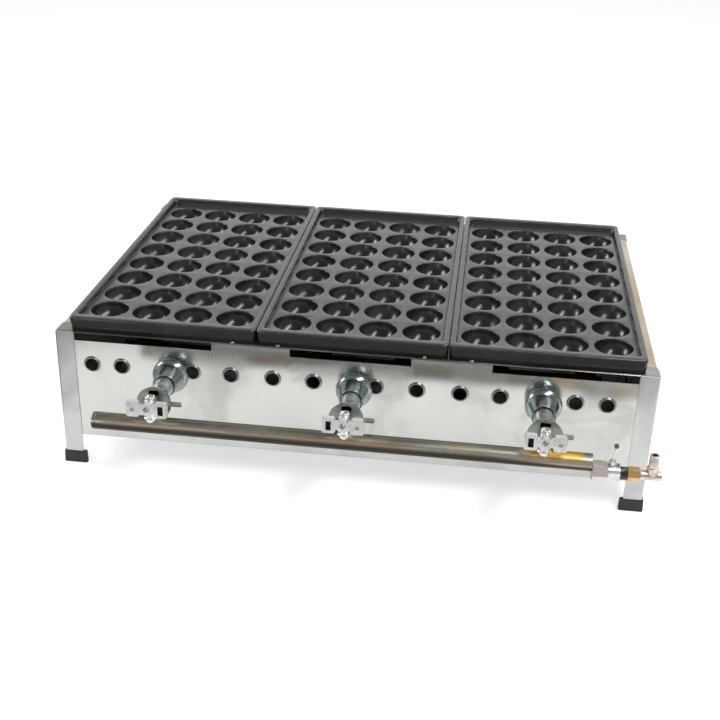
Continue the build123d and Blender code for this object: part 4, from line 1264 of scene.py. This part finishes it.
for seed, (side, x) in enumerate(BURNERS.items()):
    stem = lathed("stem", [
        (MANIFOLD_Z + 0.0040, 0, 0), (MANIFOLD_Z + 0.0040, COCK_STEM_R, 0),
        (MANIFOLD_Z + 0.0092, COCK_STEM_R, 0.0006), (MANIFOLD_Z + 0.0100, COCK_WAIST_R, 0.0006),
        (COCK_Z - 0.0030, COCK_WAIST_R, 0.0008), (COCK_Z, COCK_TOP_R + 0.0002, 0.0008),
        (COCK_TOP - 0.0004, COCK_TOP_R, 0.0004), (COCK_TOP, COCK_TOP_R - 0.0004, 0.0002),
        (COCK_TOP, COCK_HOLLOW_R, 0.0002), (COCK_TOP - COCK_HOLLOW, COCK_HOLLOW_R, 0.0003),
        (COCK_TOP - COCK_HOLLOW, 0, 0)], 64, Matrix.Translation((x, manifold_y, 0)))
    barrel = lathed("barrel", [
        (COCK_BACK, 0, 0), (COCK_BACK, COCK_BARREL_R - 0.0008, 0.0004),
        (COCK_BACK + 0.0008, COCK_BARREL_R, 0.0004), (COCK_FRONT - 0.0040, COCK_BARREL_R, 0.0003),
        (COCK_FRONT - 0.0036, COCK_BARREL_R - COCK_GROOVE, 0.0002),
        (COCK_FRONT - 0.0030, COCK_BARREL_R - COCK_GROOVE, 0.0002),
        (COCK_FRONT - 0.0026, COCK_BARREL_R, 0.0003), (COCK_FRONT, COCK_BARREL_R, 0.0005),
        (COCK_FRONT, PLUG_SEAT_R, 0.0002), (COCK_FRONT - PLUG_SEAT, PLUG_SEAT_R, 0),
        (COCK_FRONT - PLUG_SEAT, 0, 0),
    ], 72, forward_at(x), Matrix.Translation((0, 0, COCK_Z - FLAME_Z)))
    jet_boss = lathed("jet_boss", [
        (JET_BOSS_BACK, 0, 0), (JET_BOSS_BACK, JET_BOSS_R, 0.0008), (MANIFOLD_DEPTH, JET_BOSS_R, 0),
        (MANIFOLD_DEPTH, 0, 0)], 48, forward_at(x))
    casting = joined(f"cock_casting_{side}", [shaded(part) for part in (stem, barrel, jet_boss)])
    stand_in(shaded(casting), f"cock_body_{side}", cock_chrome)

    dressed(f"turned_plug_{side}", f"cock_plug_{side}", 0.0003, 2, brass)

    handle = dressed(f"butterfly_handle_{side}", f"cock_handle_{side}", 0.0007, 3,
                     cock_chrome, slot_painted_shade, screw_steel)
    slot_side = 1 if side == "left" else -1
    # The slot's walls and floor take the near-black finish, a painted shade; the dimple's faces
    # take the darker screw steel, also painted shade.
    for face in handle.data.polygons:
        depth = panel_front_y - face.center.y
        across, up = slot_side * (face.center.x - x), face.center.z - COCK_Z
        sunk = HANDLE_FRONT - HANDLE_SLOT - SLOT_LIP < depth < HANDLE_FRONT - SLOT_LIP
        if (sunk and abs(across - HANDLE_TAB_X) < HANDLE_SLOT_W / 2 + SLOT_LIP
                and abs(up) < HANDLE_SLOT_H / 2 + SLOT_LIP):
            face.material_index = 1
        elif sunk and math.hypot(across + HANDLE_TAB_X, up) < DIMPLE_R:
            face.material_index = 2

    head = set_out(f"handle_screw_{side}", screw, [(x, panel_front_y - HANDLE_FRONT, COCK_Z)],
                   HANDLE_SCREW_R, screw_steel, turn=math.pi, seed=seed, facing=FACING["front"])
    stand_in(shaded(head), f"cock_screw_{side}")
bpy.data.objects.remove(screw)


# ---- gas pipe ----
# A plated steel pipe along the front that feeds the three cocks, plugged at the left and walled
# at the right against the union nut. Heat and spilt fat have left it olive and tan in long
# stains, and amber near its right end. Its darker olive top and its brown to near-black
# underside are painted dark reflection.

PIPE_BORE_R = 0.0062
PIPE_LEFT, PIPE_RIGHT = -0.2435, 0.2465
PIPE_END_WALL = 0.003
END_PLUG_L = 0.004
END_PLUG_GAP = 0.0001
AMBER_X = (0.195, 0.240)
UNDERSIDE_DARK_REFLECTION_X = (0.15, 0.22)
ALONG_X = Matrix.Translation((0, manifold_y, MANIFOLD_Z)) @ Matrix.Rotation(math.pi / 2, 4, "Y")


def stained_pipe():
    """Plated pipe with long stains, and a painted dark reflection: darker olive on top, near black
    below.
    """
    material = metal(
        "stained_plated_pipe", (0.54, 0.53, 0.47), (0.37, 0.36, 0.30), (0.70, 0.67, 0.60),
        rough=(0.24, 0.4), size=30, cover=0.5, grain=(20, 700, 700), depth=0.00001, wave=0.0003)
    tree = material.node_tree
    shader = tree.nodes["Principled BSDF"]
    place = place_in(tree)
    axes = axes_of(tree, place)
    streaks = noise(tree, stretched(tree, place, (9, 120, 120)), 1.0, 3.0)
    start = ranged(tree, axes["X"], AMBER_X[0] - 0.02, AMBER_X[0])
    end = ranged(tree, axes["X"], AMBER_X[1] - 0.004, AMBER_X[1], 1.0, 0.0)
    # The painted dark reflection underneath reaches higher on the left of this span than at the
    # right end.
    underside_reflection_shift = ranged(tree, axes["X"], *UNDERSIDE_DARK_REFLECTION_X, -0.0024, 0.0002)
    underside_reflection_height = calculated(tree, "ADD", axes["Z"], underside_reflection_shift)

    def across(height, start, end):
        return ranged(tree, height, MANIFOLD_Z + start, MANIFOLD_Z + end)

    amber = calculated(tree, "MULTIPLY", calculated(tree, "MULTIPLY", start, end),
                       across(axes["Z"], 0.0032, 0.0048))
    colour = shader.inputs["Base Color"].links[0].from_socket
    # Stains, then a painted dark reflection along the top, the amber heat stain, and painted dark
    # reflection in brown and near black underneath.
    for where, stain_and_reflection in ((ranged(tree, streaks, 0.46, 0.62), (0.52, 0.38, 0.26)),
                         (across(axes["Z"], 0.0055, 0.0080), (0.30, 0.30, 0.235)),
                         (amber, (0.72, 0.44, 0.13)),
                         (across(underside_reflection_height, 0.0010, -0.0012), (0.26, 0.21, 0.16)),
                         (across(underside_reflection_height, -0.0004, -0.0028), (0.040, 0.037, 0.030))):
        colour = mixed(tree, where, colour, stain_and_reflection)
    tree.links.new(colour, shader.inputs["Base Color"])
    return material


pipe_finish = stained_pipe()
pipe = lathed("plated_gas_pipe", [
    (PIPE_LEFT, PIPE_BORE_R, 0.0003), (PIPE_LEFT, MANIFOLD_R, 0.0005),
    (PIPE_RIGHT, MANIFOLD_R, 0.0005), (PIPE_RIGHT, 0, 0), (PIPE_RIGHT - PIPE_END_WALL, 0, 0),
    (PIPE_RIGHT - PIPE_END_WALL, PIPE_BORE_R, 0)], 72, ALONG_X)
stand_in(shaded(pipe), "manifold_pipe", pipe_finish)

plug_right, plug_head = PIPE_LEFT + 2 * END_PLUG_L, PIPE_LEFT - END_PLUG_GAP
end_plug = lathed("pipe_end_plug", [
    (PIPE_LEFT - END_PLUG_L, 0, 0), (PIPE_LEFT - END_PLUG_L, MANIFOLD_R, 0.0012),
    (plug_head, MANIFOLD_R, 0.0003), (plug_head, PIPE_BORE_R, 0),
    (plug_right, PIPE_BORE_R, 0.0005), (plug_right, 0, 0)], 72, ALONG_X)
stand_in(shaded(end_plug), "manifold_end_plug", pipe_finish)


# ---- union nut ----
# A nickel-plated hexagon nut that joins the pipe to the inlet valve, a little below the pipe's
# own axis. Its plating is worn and has a rosy tinge.

INLET_Z = 0.0930
UNION_FLATS = 0.0185
UNION_LEFT, UNION_RIGHT = 0.2465, 0.2615
ALONG_INLET = Matrix.Translation((0, 0, INLET_Z - MANIFOLD_Z)) @ ALONG_X
FLAT_UP = Matrix.Rotation(math.pi / 6, 4, "Z")

warm_nickel = metal(
    "worn_nickel_nut", (0.80, 0.73, 0.69), (0.66, 0.61, 0.58), (0.86, 0.80, 0.76),
    rough=(0.32, 0.46), size=70, cover=0.5, depth=0.00001)
nut = chamfered_hexagon("union_nut_hexagon", UNION_FLATS, UNION_LEFT, UNION_RIGHT)
stand_in(placed(nut, FLAT_UP, ALONG_INLET), "union_nut", warm_nickel)


# ---- inlet valve ----
# A nickel-plated block between the nut and the adapter, with a turning stem on top. The stem
# carries a thin lever that leans to the right and ends in a dark ball.

KNOB_H = 0.0048

cool_nickel = metal(
    "nickel_valve", (0.76, 0.765, 0.79), (0.62, 0.62, 0.64), (0.84, 0.84, 0.84),
    rough=(0.22, 0.36), size=70, cover=0.42, depth=0.00001, wave=0.0003)
dark_knob = dulled("dark_knob", 0.35, 300, (0.055, 0.056, 0.052), (0.11, 0.11, 0.10))

dressed("valve_block", "inlet_valve_body", 0.0007, 3, cool_nickel)
dressed("valve_stem", "inlet_valve_stem", 0.0005, 3, cool_nickel)
lever = dressed("valve_lever", "inlet_lever", 0.0003, 3, cool_nickel, dark_knob)
knob_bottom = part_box("inlet_lever")[1].z - KNOB_H
for face in lever.data.polygons:
    face.material_index = int(face.center.z > knob_bottom)


# ---- adapter and hose tail ----
# A brass hexagon screwed into the valve, and a nickel-plated tube with an upright nipple, ribbed
# for the gas hose.

ADAPTER_LEFT, ADAPTER_HEX_LEFT, ADAPTER_RIGHT = 0.2730, 0.2805, 0.2925
ADAPTER_FLATS = 0.0125
ADAPTER_NECK_R = 0.0063
TUBE_R = 0.00475
TUBE_BORE_R = 0.003
TUBE_END = 0.313
TUBE_SUNK = 0.0002
NIPPLE_X = 0.3038
NIPPLE_COLLAR_R = 0.0058
NIPPLE_COLLAR_TOP = 0.1025
NIPPLE_GROOVE_R = 0.0042
NIPPLE_GROOVE = 0.0010
NIPPLE_GROOVES = (0.1105, 0.1130)
NIPPLE_TOP = 0.1160

# The adapter's neck, between the valve and the hexagon, is drawn near black.
dark_neck_finish = metal(
    "dark_adapter_neck", (0.050, 0.050, 0.048), (0.085, 0.080, 0.070), (0.16, 0.15, 0.13),
    rough=(0.3, 0.5), size=120, cover=0.5, grain=(900, 200, 200), depth=0.00004)
neck = lathed("neck", [
    (ADAPTER_LEFT, 0, 0), (ADAPTER_LEFT, ADAPTER_NECK_R, 0.0004),
    (ADAPTER_HEX_LEFT + HEXAGON_SUNK, ADAPTER_NECK_R, 0),
    (ADAPTER_HEX_LEFT + HEXAGON_SUNK, 0, 0)], 48)
hexagon = chamfered_hexagon("hexagon", ADAPTER_FLATS, ADAPTER_HEX_LEFT, ADAPTER_RIGHT)
adapter = joined("brass_adapter", [neck, placed(hexagon, FLAT_UP)])
shaded(placed(adapter, ALONG_INLET))
stand_in(adapter, "inlet_adapter", brass, dark_neck_finish)
for face in adapter.data.polygons:
    face.material_index = int(face.center.x < ADAPTER_HEX_LEFT)

hose_nickel = metal(
    "nickel_hose_tail", (0.70, 0.62, 0.57), (0.54, 0.47, 0.42), (0.80, 0.73, 0.67),
    rough=(0.26, 0.4), size=80)
tube = lathed("tube", [
    (ADAPTER_RIGHT - TUBE_SUNK, 0, 0), (ADAPTER_RIGHT - TUBE_SUNK, TUBE_R, 0),
    (TUBE_END, TUBE_R, 0.0012), (TUBE_END, 0, 0)], 48, ALONG_INLET)
ribs = []
for bottom in NIPPLE_GROOVES:
    top = bottom + NIPPLE_GROOVE
    ribs += [(bottom - 0.0002, TUBE_R, 0.0002), (bottom, NIPPLE_GROOVE_R, 0.0001),
             (top, NIPPLE_GROOVE_R, 0.0001), (top + 0.0004, TUBE_R, 0.0002)]
nipple = lathed("nipple", [
    (INLET_Z, 0, 0), (INLET_Z, NIPPLE_COLLAR_R - 0.0010, 0),
    (INLET_Z + 0.0040, NIPPLE_COLLAR_R, 0.0008), (NIPPLE_COLLAR_TOP, NIPPLE_COLLAR_R, 0.0006),
    (NIPPLE_COLLAR_TOP, TUBE_R, 0.0003), *ribs, (NIPPLE_TOP, TUBE_R, 0.0006),
    (NIPPLE_TOP, TUBE_BORE_R, 0.0003), (NIPPLE_COLLAR_TOP, TUBE_BORE_R, 0),
    (NIPPLE_COLLAR_TOP, 0, 0)], 48, Matrix.Translation((NIPPLE_X, manifold_y, 0)))
hose_tail = joined("hose_tail", [shaded(tube), shaded(nipple, sharp=FINE_CORNER)])
stand_in(shaded(hose_tail, sharp=FINE_CORNER), "hose_elbow", hose_nickel)
